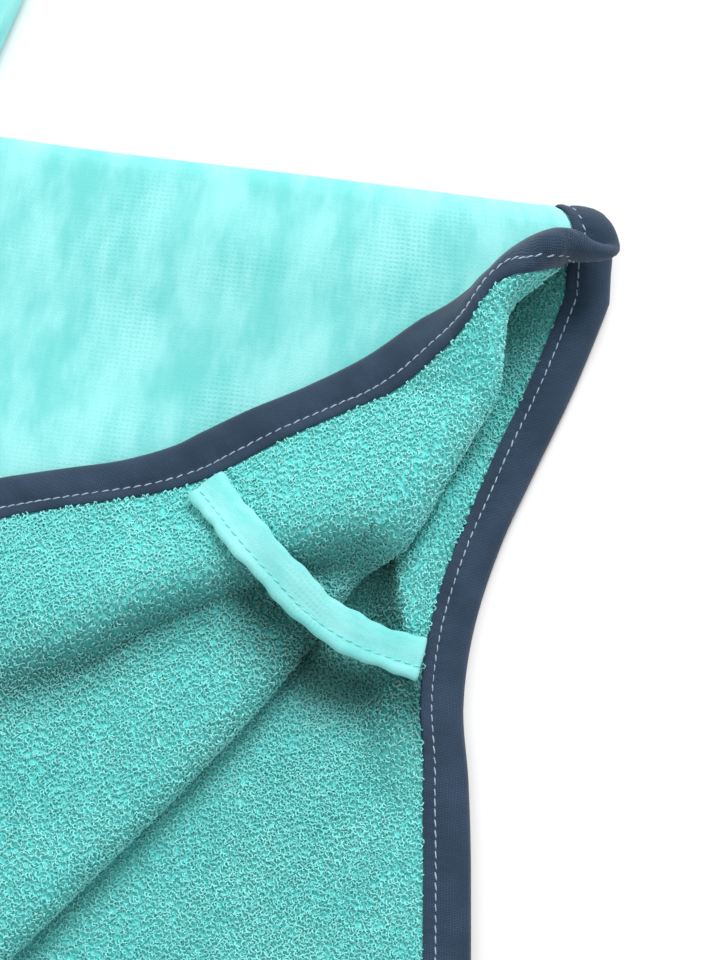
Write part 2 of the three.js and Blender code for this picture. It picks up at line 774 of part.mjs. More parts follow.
// Binding folded over an edge, from frames at its lip, middle and edge
function buildBinding(name, sections, closed) {
  const builder = new Builder();
  const near = CLOTH_IN_BINDING / 2 + SEAM_GAP;
  const rings = sections.map(([edge, middle, lip]) => {
    const out = edge.p.clone().sub(middle.p).normalize();
    const corner = near + BINDING_WALL * BINDING_ROUNDING;
    return [
      offset(lip, BINDING_HALF),
      offset(middle, BINDING_HALF),
      offset(edge, corner, SEAM_GAP + BINDING_WALL, out),
      offset(edge, -corner, SEAM_GAP + BINDING_WALL, out),
      offset(middle, -BINDING_HALF),
      offset(lip, -BINDING_HALF),
      offset(lip, -near),
      offset(middle, -near),
      offset(edge, -near, SEAM_GAP, out),
      offset(edge, near, SEAM_GAP, out),
      offset(middle, near),
      offset(lip, near),
    ].map((p) => builder.vertex(p));
  });
  const size = rings[0].length;
  const last = closed ? rings.length : rings.length - 1;
  for (let i = 0; i < last; i += 1) {
    const a = rings[i];
    const b = rings[(i + 1) % rings.length];
    for (let k = 0; k < size; k += 1) {
      const m = (k + 1) % size;
      if (FLIPPED.includes(k)) {
        builder.quad(a[m], b[m], b[k], a[k]);
      } else {
        builder.quad(a[k], a[m], b[m], b[k]);
      }
    }
  }
  if (!closed) {
    const cap = (r, flip) => {
      const strips = [
        [0, 1, 10, 11],
        [1, 2, 9, 10],
        [2, 3, 8, 9],
        [3, 4, 7, 8],
        [4, 5, 6, 7],
      ];
      for (const [a, b, c, d] of strips) {
        if (flip) {
          builder.quad(r[a], r[d], r[c], r[b]);
        } else {
          builder.quad(r[a], r[b], r[c], r[d]);
        }
      }
    };
    cap(rings[0], true);
    cap(rings[rings.length - 1], false);
  }
  return builder.mesh(name, BINDING_COLOR);
}

const rowFrames = (rows) => rows.map((row) => row.map((p) => sheetFrame(p.x, p.t)));

// Hood half: rows from the neck to the crown, columns from the centre seam over the fold to the face
const hoodOutline = new PlaneCurve(HOOD_OUTLINE, 3);
const hoodFace = new PlaneCurve(HOOD_FACE, 3);
const NECK_FOLD_HALF = (Math.PI * FOLD_RADIUS[0].r) / 2;
const neckY = (x, depth) => {
  const share = clamp(x / (NECK_HALF_WIDTH - NECK_GAP), 0, 1);
  return NECK_FOLD_HALF - (depth - NECK_GAP) * Math.sqrt(1 - share * share);
};

function hoodMid(s, v) {
  const rim = hoodOutline.at(s * hoodOutline.length);
  const run = hoodOutline.tangent(s * hoodOutline.length);
  const top = BACK_MID + 2 * HOOD_FOLD_RADIUS;
  const atNeck = (1 - s) ** HOOD_NECK.fade;
  if (v < 1) {
    const nape = neckY(0, NECK_BACK_DEPTH);
    const seam = { x: SEAM_GAP / 2, y: lerp(nape, HOOD_SEAM_TOP, s) };
    const line = { x: lerp(seam.x, rim.x, v), y: lerp(seam.y, rim.y, v) };
    const first = hoodOutline.at(0);
    const chordY = lerp(nape, first.y, v);
    const backY = neckY(lerp(0, first.x, v), NECK_BACK_DEPTH);
    const curveY = lerp(backY, first.y, smooth(v, HOOD_NECK.backFrom, 1));
    return { x: line.x, y: line.y + (curveY - chordY) * atNeck, z: BACK_MID };
  }
  if (v < 2) {
    const turn = Math.PI * (v - 1);
    const out = HOOD_FOLD_RADIUS * Math.sin(turn);
    return {
      x: rim.x + Math.max(0, run.y) * out,
      y: rim.y - run.x * out,
      z: BACK_MID + HOOD_FOLD_RADIUS * (1 - Math.cos(turn)),
    };
  }
  const w = v - 2;
  const face = hoodFace.at(s * hoodFace.length);
  const first = hoodOutline.at(0);
  const end = hoodFace.at(0);
  const line = { x: lerp(rim.x, face.x, w), y: lerp(rim.y, face.y, w) };
  const chordX = lerp(first.x, end.x, w);
  const frontY = neckY(chordX, NECK_FRONT_DEPTH);
  const curveY = lerp(first.y, frontY, smooth(w, 0, HOOD_NECK.frontTo));
  const y = line.y + (curveY - lerp(first.y, end.y, w)) * atNeck;
  const free = lerp(top, HOOD_FACE_MID, smooth(w, 0, 1));
  const seamZ = frontHeight(line.x, Math.min(y, 0), HALF_LENGTH / 2);
  return { x: line.x, y, z: lerp(free, seamZ, (1 - s) ** HOOD_NECK.rise) };
}

function hoodFrame(s, v) {
  const h = HOOD_SLOPE.step;
  const m = hoodMid(s, v);
  const ns = clamp(s, ...HOOD_SLOPE.s);
  const nv = clamp(v, ...HOOD_SLOPE.v);
  const a = hoodMid(ns - h, nv);
  const b = hoodMid(ns + h, nv);
  const c = hoodMid(ns, nv - h);
  const e = hoodMid(ns, nv + h);
  const up = new THREE.Vector3(b.x - a.x, b.y - a.y, b.z - a.z);
  const over = new THREE.Vector3(e.x - c.x, e.y - c.y, e.z - c.z);
  return { p: new THREE.Vector3(m.x, m.y, m.z), n: over.cross(up).normalize() };
}

// Columns of a hood half, with the last three rows of the front inside the binding
const hoodColumns = () => {
  const cols = [];
  for (let i = 0; i < HOOD_BACK_COLS; i += 1) {
    cols.push(i / HOOD_BACK_COLS);
  }
  for (let i = 0; i < HOOD_FOLD_COLS; i += 1) {
    cols.push(1 + i / HOOD_FOLD_COLS);
  }
  for (let i = 0; i < HOOD_FRONT_COLS; i += 1) {
    cols.push(2 + (HOOD_FRONT_SPAN * i) / HOOD_FRONT_COLS);
  }
  return cols;
};

function hoodRow(s) {
  const span = hoodOutline.at(s * hoodOutline.length);
  const face = hoodFace.at(s * hoodFace.length);
  const run = hoodFace.tangent(s * hoodFace.length);
  const wide = Math.abs((span.x - face.x) * run.y - (span.y - face.y) * run.x);
  const share = (inset) => 3 - inset / wide;
  const bound = [BINDING_WIDTH + CLOTH_RECOVERY, BINDING_WIDTH, BINDING_WIDTH / 2, 0];
  return [...hoodColumns(), ...bound.map(share)].map((v) => hoodFrame(s, v));
}

function mirrored(frame) {
  const p = frame.p.clone();
  const n = frame.n.clone();
  p.x = -p.x;
  n.x = -n.x;
  return { p, n };
}

const hoodRows = () => Array.from({ length: HOOD_ROWS + 1 }, (_, i) => hoodRow(i / HOOD_ROWS));

function buildHoodHalf(name, side) {
  const builder = new Builder();
  const rows = hoodRows().map((row) => (side > 0 ? row : row.map(mirrored)));
  const cols = rows[0].length;
  const thin = cols - 3;
  const grid = rows.map((row) =>
    row.map((frame, k) => {
      const half = (k >= thin ? CLOTH_IN_BINDING : CLOTH) / 2;
      return [builder.vertex(offset(frame, half)), builder.vertex(offset(frame, -half))];
    }),
  );
  const quad = (a, b, c, d) => (side > 0 ? builder.quad(a, b, c, d) : builder.quad(a, d, c, b));
  for (let i = 0; i < HOOD_ROWS; i += 1) {
    for (let k = 0; k < cols - 1; k += 1) {
      const [a, b, c, d] = [grid[i][k], grid[i][k + 1], grid[i + 1][k + 1], grid[i + 1][k]];
      quad(a[0], b[0], c[0], d[0]);
      quad(a[1], d[1], c[1], b[1]);
    }
    const end = cols - 1;
    quad(grid[i][0][0], grid[i + 1][0][0], grid[i + 1][0][1], grid[i][0][1]);
    quad(grid[i][end][0], grid[i][end][1], grid[i + 1][end][1], grid[i + 1][end][0]);
  }
  for (let k = 0; k < cols - 1; k += 1) {
    quad(grid[0][k][0], grid[0][k][1], grid[0][k + 1][1], grid[0][k + 1][0]);
    const top = grid[HOOD_ROWS];
    quad(top[k][0], top[k + 1][0], top[k + 1][1], top[k][1]);
  }
  return builder.mesh(name, CLOTH_COLOR);
}

function hoodBindingSections() {
  const right = hoodRows().map((row) => row.slice(-3).reverse());
  const left = right.map((row) => row.map(mirrored));
  const crown = right[HOOD_ROWS].map((frame) => {
    const p = frame.p.clone();
    p.x = 0;
    const n = frame.n.clone();
    n.x = 0;
    return { p, n: n.normalize() };
  });
  return [...right.slice(0, HOOD_ROWS), crown, ...left.slice(0, HOOD_ROWS).reverse()];
}

// Strap: a band with rounded sides along a path, its width held level where it can be
function buildStrap(name, rows, widthWay) {
  const builder = new Builder();
  const path = new THREE.CatmullRomCurve3(
    rows.map((r) => new THREE.Vector3(r.x, r.y, r.z)),
    false,
    'centripetal',
  );
  const half = STRAP_WIDTH / 2;
  const thick = STRAP_THICK / 2;
  const flat = half - STRAP_ROUNDING;
  const profile = [
    [-half, 0],
    [-flat, thick],
    [0, thick],
    [flat, thick],
    [half, 0],
    [flat, -thick],
    [0, -thick],
    [-flat, -thick],
  ];
  const rings = [];
  for (let i = 0; i <= STRAP_STEPS; i += 1) {
    const u = i / STRAP_STEPS;
    const p = path.getPointAt(u);
    const t = path.getTangentAt(u);
    const side = widthWay(t).normalize();
    const up = side.clone().cross(t).normalize();
    rings.push(
      profile.map(([w, h]) =>
        builder.vertex(p.clone().addScaledVector(side, w).addScaledVector(up, h)),
      ),
    );
  }
  const size = profile.length;
  for (let i = 0; i < STRAP_STEPS; i += 1) {
    for (let k = 0; k < size; k += 1) {
      const m = (k + 1) % size;
      builder.quad(rings[i][k], rings[i][m], rings[i + 1][m], rings[i + 1][k]);
    }
  }
  for (let k = 1; k < size - 1; k += 1) {
    builder.face(rings[0][0], rings[0][k + 1], rings[0][k]);
    builder.face(rings[STRAP_STEPS][0], rings[STRAP_STEPS][k], rings[STRAP_STEPS][k + 1]);
  }
  return builder.mesh(name, STRAP_COLOR);
}

const levelSide = (t) => new THREE.Vector3(0, 0, 1).cross(t);

function buildPart() {
  const rows = edgeRows();
  const group = new THREE.Group();
  group.name = 'hooded_bath_poncho';
  group.add(buildSheet(rows));
  group.add(buildBinding('body_binding', rowFrames(rows), true));
  group.add(buildHoodHalf('hood_right', 1));
  group.add(buildHoodHalf('hood_left', -1));
  group.add(buildBinding('hood_binding', hoodBindingSections(), false));
  group.add(buildStrap('side_strap_right', STRAP_RIGHT, levelSide));
  const left = STRAP_LEFT.map((r) => ({ ...r, y: -LEFT_STRAP_AT }));
  group.add(buildStrap('side_strap_left', left, () => new THREE.Vector3(0, 1, 0)));
  group.updateMatrixWorld(true);
  const box = new THREE.Box3().setFromObject(group, true);
  group.position.set(-(box.min.x + box.max.x) / 2, -(box.min.y + box.max.y) / 2, -box.min.z);
  return group;
}

export default buildPart();
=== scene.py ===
"""Hooded bath poncho: the looks of the garment, laid flat with one side of its front turned back."""

import logging
import math
from dataclasses import dataclass, field
from enum import Enum
from typing import Any, Callable, Sequence

import bpy
import numpy as np
from mathutils import Matrix, Vector
from mathutils.geometry import delaunay_2d_cdt


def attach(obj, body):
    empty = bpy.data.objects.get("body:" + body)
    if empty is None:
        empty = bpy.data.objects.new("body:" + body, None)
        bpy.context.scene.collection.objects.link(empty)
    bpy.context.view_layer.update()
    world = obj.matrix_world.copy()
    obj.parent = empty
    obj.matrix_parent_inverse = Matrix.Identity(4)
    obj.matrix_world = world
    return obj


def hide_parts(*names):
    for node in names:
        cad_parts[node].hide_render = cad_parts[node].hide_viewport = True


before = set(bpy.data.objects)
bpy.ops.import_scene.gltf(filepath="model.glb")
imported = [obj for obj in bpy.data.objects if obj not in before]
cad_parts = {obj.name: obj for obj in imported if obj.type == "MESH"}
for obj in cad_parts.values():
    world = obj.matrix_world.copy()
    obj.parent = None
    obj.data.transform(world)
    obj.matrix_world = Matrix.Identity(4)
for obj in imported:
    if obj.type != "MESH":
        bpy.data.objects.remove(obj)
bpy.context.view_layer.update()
LOG = logging.getLogger("poncho")

Array = np.ndarray
Rows = Sequence[Sequence[float]]
Colour = tuple[float, float, float, float]

# The part's middle against the garment's own middle, in millimetres
SHIFT = np.array([18.4668, 142.9248, 0.0])
MM = 0.001

HALF_WIDTH = 300.0
HALF_LENGTH = 575.0
HEM_CORNER = 60.0
NECK_HALF_WIDTH = 95.0
NECK_FRONT_DEPTH = 73.0
NECK_BACK_DEPTH = 28.0
NECK_GAP = 0.5
SEAM_HALF_GAP = 0.15
CLOTH = 3.0
BINDING_WIDTH = 12.0
BINDING_HALF = 2.1
BACK_MID = 1.5

# Half the cloth's thickness inside a binding, and the inset from which a binding runs straight out
BOUND_HALF = 0.75
LAST_INSET = 0.6

# Half the cloth taken up by the shoulder fold at the neck, and the radius of the hood's fold
NECK_FOLD_HALF = math.pi * 2.5
HOOD_FOLD = 5.0

# Radius of the cloth taken up by the turn at its ends and where it is widest
TURN_TAKE_END = 3.2
TURN_TAKE_FULL = 7.0

# Length along the turn line past which the turned edge is a bare turn
FIT_END = 330

# Share by which the turned cloth tilts outwards by the shoulder tip
TIP_TILT = 0.55

# Line of the narrow band by the shoulder tip, and the width left there as a share
PINCH_AT = np.array([256.1, -27.7])
PINCH_WAY = np.array([math.sqrt(0.5), math.sqrt(0.5)])
PINCH_ACROSS = np.array([-math.sqrt(0.5), math.sqrt(0.5)])
PINCH = 0.34

# x, radius of the shoulder fold
FOLD_RADIUS: Rows = ((-300, 5), (125, 5), (210, 6.5), (300, 7.5))

# x, y of the line about which the front's side turns back
TURN_LINE: Rows = (
    (300, 0), (284, -18.5), (266.5, -45), (249.5, -77), (234, -109), (199, -165),
    (163.5, -214), (70, -331.5), (-30, -457.2), (-160, -620.6),
)

# Edge of the painted shade in the back's dark pocket under the open side: its x, its slope, and its y below
# zero
POCKET_X = 246.2
POCKET_SLOPE = 0.228
POCKET_LOW = 96.1

# Painted shade in the crease and under the shoulder tip, as shares of the darkest
CREASE_SHADE = 0.62
TIP_SHADE = 0.5

# length from the shoulder tip, x, y of the turned side edge
TURNED_EDGE: Rows = (
    (40, 265.7, -10.2), (60, 254, -26.9), (75, 243.5, -36), (93, 230.3, -48.7),
    (113, 214.4, -59.9), (131, 199.5, -69.1), (147, 186.7, -78), (158, 179, -83.3),
    (172, 165.6, -89.4), (187, 150.5, -94.1), (205, 134.2, -99.2),
)

# x, y of the crease across the turned-back cloth
VALLEY: Rows = (
    (262, -104.5), (247.6, -105.9), (227.2, -111.7), (213.2, -119.8), (197.3, -129.1),
    (181.4, -138.4), (169.6, -147.1), (150, -159), (100, -183.5),
)

# y, sideways lay of the back's edge under the open side
BACK_EDGE_SHIFT: Rows = (
    (0, 0), (-19, -4), (-45, -10.4), (-72, -18.6), (-95, -25.2), (-120, -29.3),
    (-143, -29.1), (-164, -24.6), (-189, -20.3), (-250, -12), (-360, 0),
)

# y, how far the shoulder tip is drawn in
TIP_PULL: Rows = ((-16, 0), (-7, -2.6), (0, -4.6), (5, -8), (9, -13))

# x, y of the hood's fold and of its face edge, right half
HOOD_OUTLINE: Rows = (
    (88.2, 8.5), (96, 34), (104, 80), (106, 130), (98, 185), (74, 236), (38, 267), (0.15, 277),
)
HOOD_FACE: Rows = (
    (3.6, -64.3), (9, -52), (27, -8), (45, 52), (52, 112), (43, 166), (22, 200), (0.15, 209),
)

# x, y, z of the strap across the open side, and x, z of the one that pokes out flat
STRAP_RIGHT: Rows = (
    (189.8, -93.5, 17.9), (196, -99.8, 21.2), (203.6, -107.4, 25.7), (215.3, -116.7, 23.6),
    (227.7, -125.3, 18.9), (240, -130.1, 15.8), (251, -132.1, 13.4), (258.2, -132.8, 11.2),
)
STRAP_LEFT: Rows = (
    (-279, 5.4), (-284, 5.8), (-289, 6.5), (-300, 6.5), (-320, 6.4), (-334, 7.3),
    (-337.5, 9.2), (-334, 10.6), (-320, 10.6), (-300, 10.4), (-280, 9.9),
)
LEFT_STRAP_AT = 135.0


def smooth(value: Array | float, low: float, high: float) -> Array:
    """Eased step from 0 at low to 1 at high."""
    t = np.clip((np.asarray(value, float) - low) / (high - low), 0.0, 1.0)
    return t * t * (3.0 - 2.0 * t)


def bell(value: Array | float, spread: Array | float) -> Array:
    """Bell curve of height 1 and the given spread."""
    return np.exp(-(np.asarray(value, float) ** 2) / (2.0 * np.asarray(spread, float) ** 2))


def blend(a: Array | float, b: Array | float, share: Array | float) -> Array:
    """Value between a and b."""
    return a + (np.asarray(b, float) - a) * share


def table_at(rows: Rows, column: int, value: Array | float) -> Array:
    """Smooth value of a table.

    Args:
        rows: Rows whose first column is the key, rising or falling.
        column: The column wanted.
        value: Keys to look up, held at the table's ends.

    Returns:
        The column's values.
    """
    table = np.array(rows, float)
    if table[0, 0] > table[-1, 0]:
        table = table[::-1]
    keys, heights = table[:, 0], table[:, column]
    slopes = np.empty_like(heights)
    slopes[1:-1] = (heights[2:] - heights[:-2]) / (keys[2:] - keys[:-2])
    slopes[0] = (heights[1] - heights[0]) / (keys[1] - keys[0])
    slopes[-1] = (heights[-1] - heights[-2]) / (keys[-1] - keys[-2])
    v = np.clip(np.asarray(value, float), keys[0], keys[-1])
    i = np.clip(np.searchsorted(keys, v, side="right") - 1, 0, len(keys) - 2)
    h = keys[i + 1] - keys[i]
    t = (v - keys[i]) / h
    t2, t3 = t * t, t * t * t
    return (
        (2 * t3 - 3 * t2 + 1) * heights[i]
        + (t3 - 2 * t2 + t) * h * slopes[i]
        + (3 * t2 - 2 * t3) * heights[i + 1]
        + (t3 - t2) * h * slopes[i + 1]
    )


class Path:
    """A dense smooth curve through control points, in equal steps."""

    def __init__(self, rows: Rows, step: float) -> None:
        """Samples the curve.

        Args:
            rows: Control points, of two or three coordinates.
            step: About how far apart its points are.
        """
        control = np.array(rows, float)
        if control.shape[1] == 2:
            control = np.column_stack([control, np.zeros(len(control))])
        ends = (2 * control[0] - control[1], 2 * control[-1] - control[-2])
        padded = np.vstack([ends[0], control, ends[1]])
        fine = []
        u = np.linspace(0, 1, 60, endpoint=False)[:, None]
        for p0, p1, p2, p3 in zip(padded, padded[1:], padded[2:], padded[3:]):
            d0, d1, d2 = (np.linalg.norm(b - a) ** 0.5 for a, b in ((p0, p1), (p1, p2), (p2, p3)))
            m1 = d1 * ((p1 - p0) / d0 - (p2 - p0) / (d0 + d1) + (p2 - p1) / d1)
            m2 = d1 * ((p2 - p1) / d1 - (p3 - p1) / (d1 + d2) + (p3 - p2) / d2)
            fine.append(
                p1 + m1 * u + (3 * (p2 - p1) - 2 * m1 - m2) * u**2 + (2 * (p1 - p2) + m1 + m2) * u**3
            )
        fine = np.vstack([*fine, control[-1:]])
        lengths = np.concatenate([[0], np.cumsum(np.linalg.norm(np.diff(fine, axis=0), axis=1))])
        count = max(2, round(lengths[-1] / step))
        self.length = float(lengths[-1])
        self.step = self.length / count
        wanted = np.linspace(0, self.length, count + 1)
        self.points = np.column_stack([np.interp(wanted, lengths, fine[:, k]) for k in range(3)])

    def at(self, a: Array | float) -> Array:
        """Points at lengths a.

        Args:
            a: Lengths along the curve.

        Returns:
            The points, one row each.
        """
        a = np.asarray(a, float)
        i = np.clip((a / self.step).astype(int), 0, len(self.points) - 2)
        t = (a / self.step - i)[..., None]
        return self.points[i] * (1 - t) + self.points[i + 1] * t

    def tangent(self, a: Array | float) -> Array:
        """Unit tangents at lengths a, evened over a few steps.

        Args:
            a: Lengths along the curve.

        Returns:
            The tangents, one row each.
        """
        a = np.asarray(a, float)
        reach = 3 * self.step
        run = self.at(np.minimum(self.length, a + reach)) - self.at(np.maximum(0, a - reach))
        return run / np.linalg.norm(run, axis=-1, keepdims=True)

    def locate(self, x: Array, y: Array) -> tuple[Array, Array]:
        """Length along and signed distance of points of the plan.

        Args:
            x: Across.
            y: Along the garment.

        Returns:
            Lengths, and distances that are positive to the left of the way along.
        """
        x, y = np.broadcast_arrays(np.asarray(x, float), np.asarray(y, float))
        flat = np.column_stack([x.ravel(), y.ravel()])
        nearest = np.empty(len(flat), int)
        for start in range(0, len(flat), 8000):
            part = flat[start : start + 8000]
            gaps = (part[:, :1] - self.points[None, :, 0]) ** 2
            gaps += (part[:, 1:] - self.points[None, :, 1]) ** 2
            nearest[start : start + 8000] = gaps.argmin(axis=1)
        a = nearest * self.step
        for _ in range(4):
            p, t = self.at(a), self.tangent(a)
            a = np.clip(
                a + (flat[:, 0] - p[:, 0]) * t[:, 0] + (flat[:, 1] - p[:, 1]) * t[:, 1], 0, self.length
            )
        p, t = self.at(a), self.tangent(a)
        d = (flat[:, 1] - p[:, 1]) * t[:, 0] - (flat[:, 0] - p[:, 0]) * t[:, 1]
        return a.reshape(x.shape), d.reshape(x.shape)


@dataclass
class Frames:
    """Points on a middle surface with their unit normals."""

    point: Array
    normal: Array

    def moved(self, by: Array | float) -> Array:
        """Points moved along the normals."""
        return self.point + self.normal * np.asarray(by, float)[..., None]


class Lay:
    """The garment's lay: where each point of the cut lies, in millimetres."""

    def __init__(self) -> None:
        """Makes the guiding curves."""
        self.turn = Path(TURN_LINE, 2)
        self.valley = Path(VALLEY, 3)
        self.strap = Path([row[:2] for row in STRAP_RIGHT], 2)
        edge = [(HALF_WIDTH, 0.0)] + [(row[1], row[2]) for row in TURNED_EDGE] + [(-60, -147)]
        self.edge = Path(edge, 3)
        lengths = np.arange(0, 320, 0.5)
        s = self.side_edge(lengths)[1]
        ends = (TURNED_EDGE[0][0], TURNED_EDGE[-1][0])
        self.fit_span = [float(lengths[np.argmax(s >= end)]) for end in ends]

    @staticmethod
    def fold_radius(x: Array | float) -> Array:
        """Radius of the shoulder fold."""
        return table_at(FOLD_RADIUS, 1, x)

    @staticmethod
    def edge_distance(x: Array, t: Array) -> Array:
        """Distance of points of the cut from its outer edge.

        Args:
            x: Across the cut.
            t: Along the cut.

        Returns:
            The distances, positive inside.
        """
        ax = HALF_WIDTH - HEM_CORNER - np.abs(x)
        at = HALF_LENGTH - HEM_CORNER - np.abs(t)
        return np.where(
            (ax < 0) & (at < 0), HEM_CORNER - np.hypot(ax, at), HEM_CORNER + np.minimum(ax, at)
        )

    def edge_lift(self, x: Array, t: Array) -> Array:
        """Share of the lift that the binding gives the cloth beside it."""
        return 1 - smooth(self.edge_distance(x, t), BINDING_WIDTH, BINDING_WIDTH + 16)

    def fold_bottom(self, x: Array) -> Array:
        """Height of the back's middle at the shoulder fold."""
        return BACK_MID + (BINDING_HALF - BACK_MID) * self.edge_lift(x, np.zeros_like(x))

    def back(self, x: Array, y: Array, t: Array) -> Array:
        """Where the back lies.

        Args:
            x: Across the cut.
            y: Along the garment.
            t: Along the cut.

        Returns:
            Points, one row each.
        """
        near = smooth(x, HALF_WIDTH - 110, HALF_WIDTH - BINDING_WIDTH)
        px = x + near * table_at(BACK_EDGE_SHIFT, 1, y)
        along = smooth(-y, 62, 88) * (1 - smooth(-y, 150, 176))
        ridge = 7.5 * along * bell(HALF_WIDTH - x - 19, 5.5)
        z = BACK_MID + (BINDING_HALF - BACK_MID) * self.edge_lift(x, t) + ridge
        return np.stack([px, y, z], axis=-1)

    def front_height(self, x: Array, y: Array, t: Array) -> Array:
        """Height of the front's middle before its side is turned back.

        Args:
            x: Across the cut.
            y: Along the garment.
            t: Along the cut.

        Returns:
            The heights.
        """
        hand = 3.5 * bell(np.hypot(x - 262, y + 62), 28)
        flat = 5.8 + 1.3 * self.edge_lift(x, t) + hand
        strap = 9 * bell(x + HALF_WIDTH, 30) * bell(y + LEFT_STRAP_AT, 26)
        fold = self.fold_bottom(x) + 2 * self.fold_radius(x)
        return blend(flat + strap, fold, np.exp(-((y / 45) ** 2)))

    def turned_rise(self, x: Array, y: Array) -> Array:
        """Height of the turned-back cloth above the front.

        Args:
            x: Across.
            y: Along the garment.

        Returns:
            The heights.
        """
        inside = self.edge.locate(x, y)[1]
        cut_a, cut_d = self.valley.locate(x, y)
        fold_a, fold_d = self.turn.locate(x, y)
        fade = 1 - smooth(cut_a, 95, 165)
        wall = blend(1.0, smooth(-cut_d, -1, 11), fade)
        far = 1 - smooth(fold_a, 300, 420)
        upper = 11 * smooth(inside, 6, 46) * wall * far
        lower = 4.5 * bell(-fold_d - 5, 17) * smooth(fold_a, 128, 165) * far
        crest = 8 * smooth(inside, 0, 13) * smooth(fold_a, 4, 26) * (1 - smooth(fold_a, 48, 92))
        return 6.4 + np.maximum(np.maximum(upper * blend(1.0, 0.55, 1 - fade), lower), crest)

    @staticmethod
    def turn_take(a: Array) -> Array:
        """Radius of cloth taken up by the turn, along the turn line."""
        rising = blend(TURN_TAKE_END, TURN_TAKE_FULL, smooth(a, 0, 110))
        return blend(rising, TURN_TAKE_END, smooth(a, 300, 520))

    def side_edge(self, a: Array) -> tuple[Array, Array, Array, Array]:
        """The side edge met by the line across the turn.

        Args:
            a: Lengths along the turn line.

        Returns:
            Reach from the turn line, length from the shoulder tip, and the place x, y where a bare turn
            would put it.
        """
        p, t = self.turn.at(a), self.turn.tangent(a)
        reach = (HALF_WIDTH - p[..., 0]) / -t[..., 1]
        bare = reach - math.pi * self.turn_take(a)
        return (
            reach,
            -(p[..., 1] + t[..., 0] * reach),
            p[..., 0] + t[..., 1] * bare,
            p[..., 1] - t[..., 0] * bare,
        )

    def edge_fit(self, a: Array) -> tuple[Array, Array, Array]:
        """Offset x, y of the turned edge from a bare turn, and the reach of the side edge.

        Args:
            a: Lengths along the turn line.

        Returns:
            The two offsets and the reach.
        """
        held = np.minimum(a, FIT_END)
        _, s, bx, by = self.side_edge(np.clip(held, *self.fit_span))
        share = smooth(held, 0, self.fit_span[0]) * (1 - smooth(held, self.fit_span[1], FIT_END))
        fx = share * (table_at(TURNED_EDGE, 1, s) - bx)
        fy = share * (table_at(TURNED_EDGE, 2, s) - by)
        reach = np.where(a > FIT_END, 1.0, self.side_edge(held)[0])
        return fx, fy, reach

    def mid(self, x: Array, t: Array) -> Array:
        """Places of the cloth's middle.

        Args:
            x: Across the cut.
            t: Along the cut from the shoulder fold, below zero on the back.

        Returns:
            Points, one row each.
        """
        x, t = (np.asarray(v, float).ravel() for v in np.broadcast_arrays(x, t))
        r = self.fold_radius(x)
        half = math.pi * r / 2
        low = self.fold_bottom(x)
        turn = np.clip((t + half) / r, 0, math.pi)
        fold = np.stack([x, r * np.sin(turn), low + r * (1 - np.cos(turn))], axis=-1)
        out = np.where((t < -half)[:, None], self.back(x, t + half, t), fold)
        on_front = t >= half
        if on_front.any():
            out[on_front] = self.front(x[on_front], t[on_front], half[on_front])
        near = smooth(out[:, 0], HALF_WIDTH - 100, HALF_WIDTH)
        out[:, 0] += near * table_at(TIP_PULL, 1, out[:, 1])
        tip = (t > 8) & (x > HALF_WIDTH - 80)
        if tip.any():
            out[tip, :2] += self.pinch(out[tip, :2], x[tip], t[tip], half[tip])
        return out

    def pinch(self, p: Array, x: Array, t: Array, half: Array) -> Array:
        """Shift that draws the turned-back cloth together by the shoulder tip.

        Args:
            p: Where the cloth lies in plan.
            x: Across the cut.
            t: Along the cut.
            half: Half the cloth taken by the shoulder fold.

        Returns:
            The shift in plan.
        """
        d = self.turn.locate(x, half - t)[1]
        along, across = (p - PINCH_AT) @ PINCH_WAY, (p - PINCH_AT) @ PINCH_ACROSS
        share = smooth(along, -14, 12) * (1 - smooth(along, 30, 46))
        share = share * smooth(t, 8, 20) * (1 - smooth(-d, 0, 26))
        return (share * (PINCH * (across + 4.6) - across))[:, None] * PINCH_ACROSS

    def front(self, x: Array, t: Array, half: Array) -> Array:
        """Places of the front's middle, with its side turned back.

        Args:
            x: Across the cut.
            t: Along the cut.
            half: Half the cloth taken by the shoulder fold.

        Returns:
            Points, one row each.
        """
        y = half - t
        plain = np.stack([x, y, self.front_height(x, y, t)], axis=-1)
        a, d = self.turn.locate(x, y)
        p, tan = self.turn.at(a), self.turn.tangent(a)
        nx, ny = -tan[:, 1], tan[:, 0]
        width = math.pi * self.turn_take(a)
        ground = self.front_height(p[:, 0], p[:, 1], half - p[:, 1])
        radius = self.turned_rise(p[:, 0], p[:, 1]) / 2
        angle = math.pi * d / width
        out = radius * np.sin(angle)
        roll = np.stack(
            [p[:, 0] + nx * out, p[:, 1] + ny * out, ground + radius * (1 - np.cos(angle))], axis=-1
        )
        fx, fy, reach = self.edge_fit(a)
        span = np.maximum(6, reach - width - BINDING_WIDTH)
        share = np.clip((d - width) / span, 0, 1)
        share = share * share * (3 - 2 * share)
        px = p[:, 0] - nx * (d - width) + fx * share
        py = p[:, 1] - ny * (d - width) + fy * share
        middle = np.full_like(px, HALF_LENGTH / 2)
        z = blend(ground, self.front_height(px, py, middle), smooth(d - width, 0, 14))
        tilt = self.tip_tilt(x, t, d - width)
        rise = z + self.turned_rise(px, py)
        laid = np.stack([px - nx * tilt, py - ny * tilt, rise], axis=-1)
        return np.where((d <= 0)[:, None], plain, np.where((d < width)[:, None], roll, laid))

    def tip_tilt(self, x: Array, t: Array, past: Array) -> Array:
        """Outward shift of the cloth beside the turned edge near the shoulder tip, where the binding tilts.

        Args:
            x: Across the cut.
            t: Along the cut.
            past: Distance past the turn.

        Returns:
            The shift in millimetres.
        """
        inset = self.edge_distance(x, t)
        share = TIP_TILT * (1 - smooth(t, 30, 110)) * smooth(past, 0, 9)
        return share * np.clip(inset, 0, BINDING_WIDTH) * (1 - smooth(inset, BINDING_WIDTH, 46))

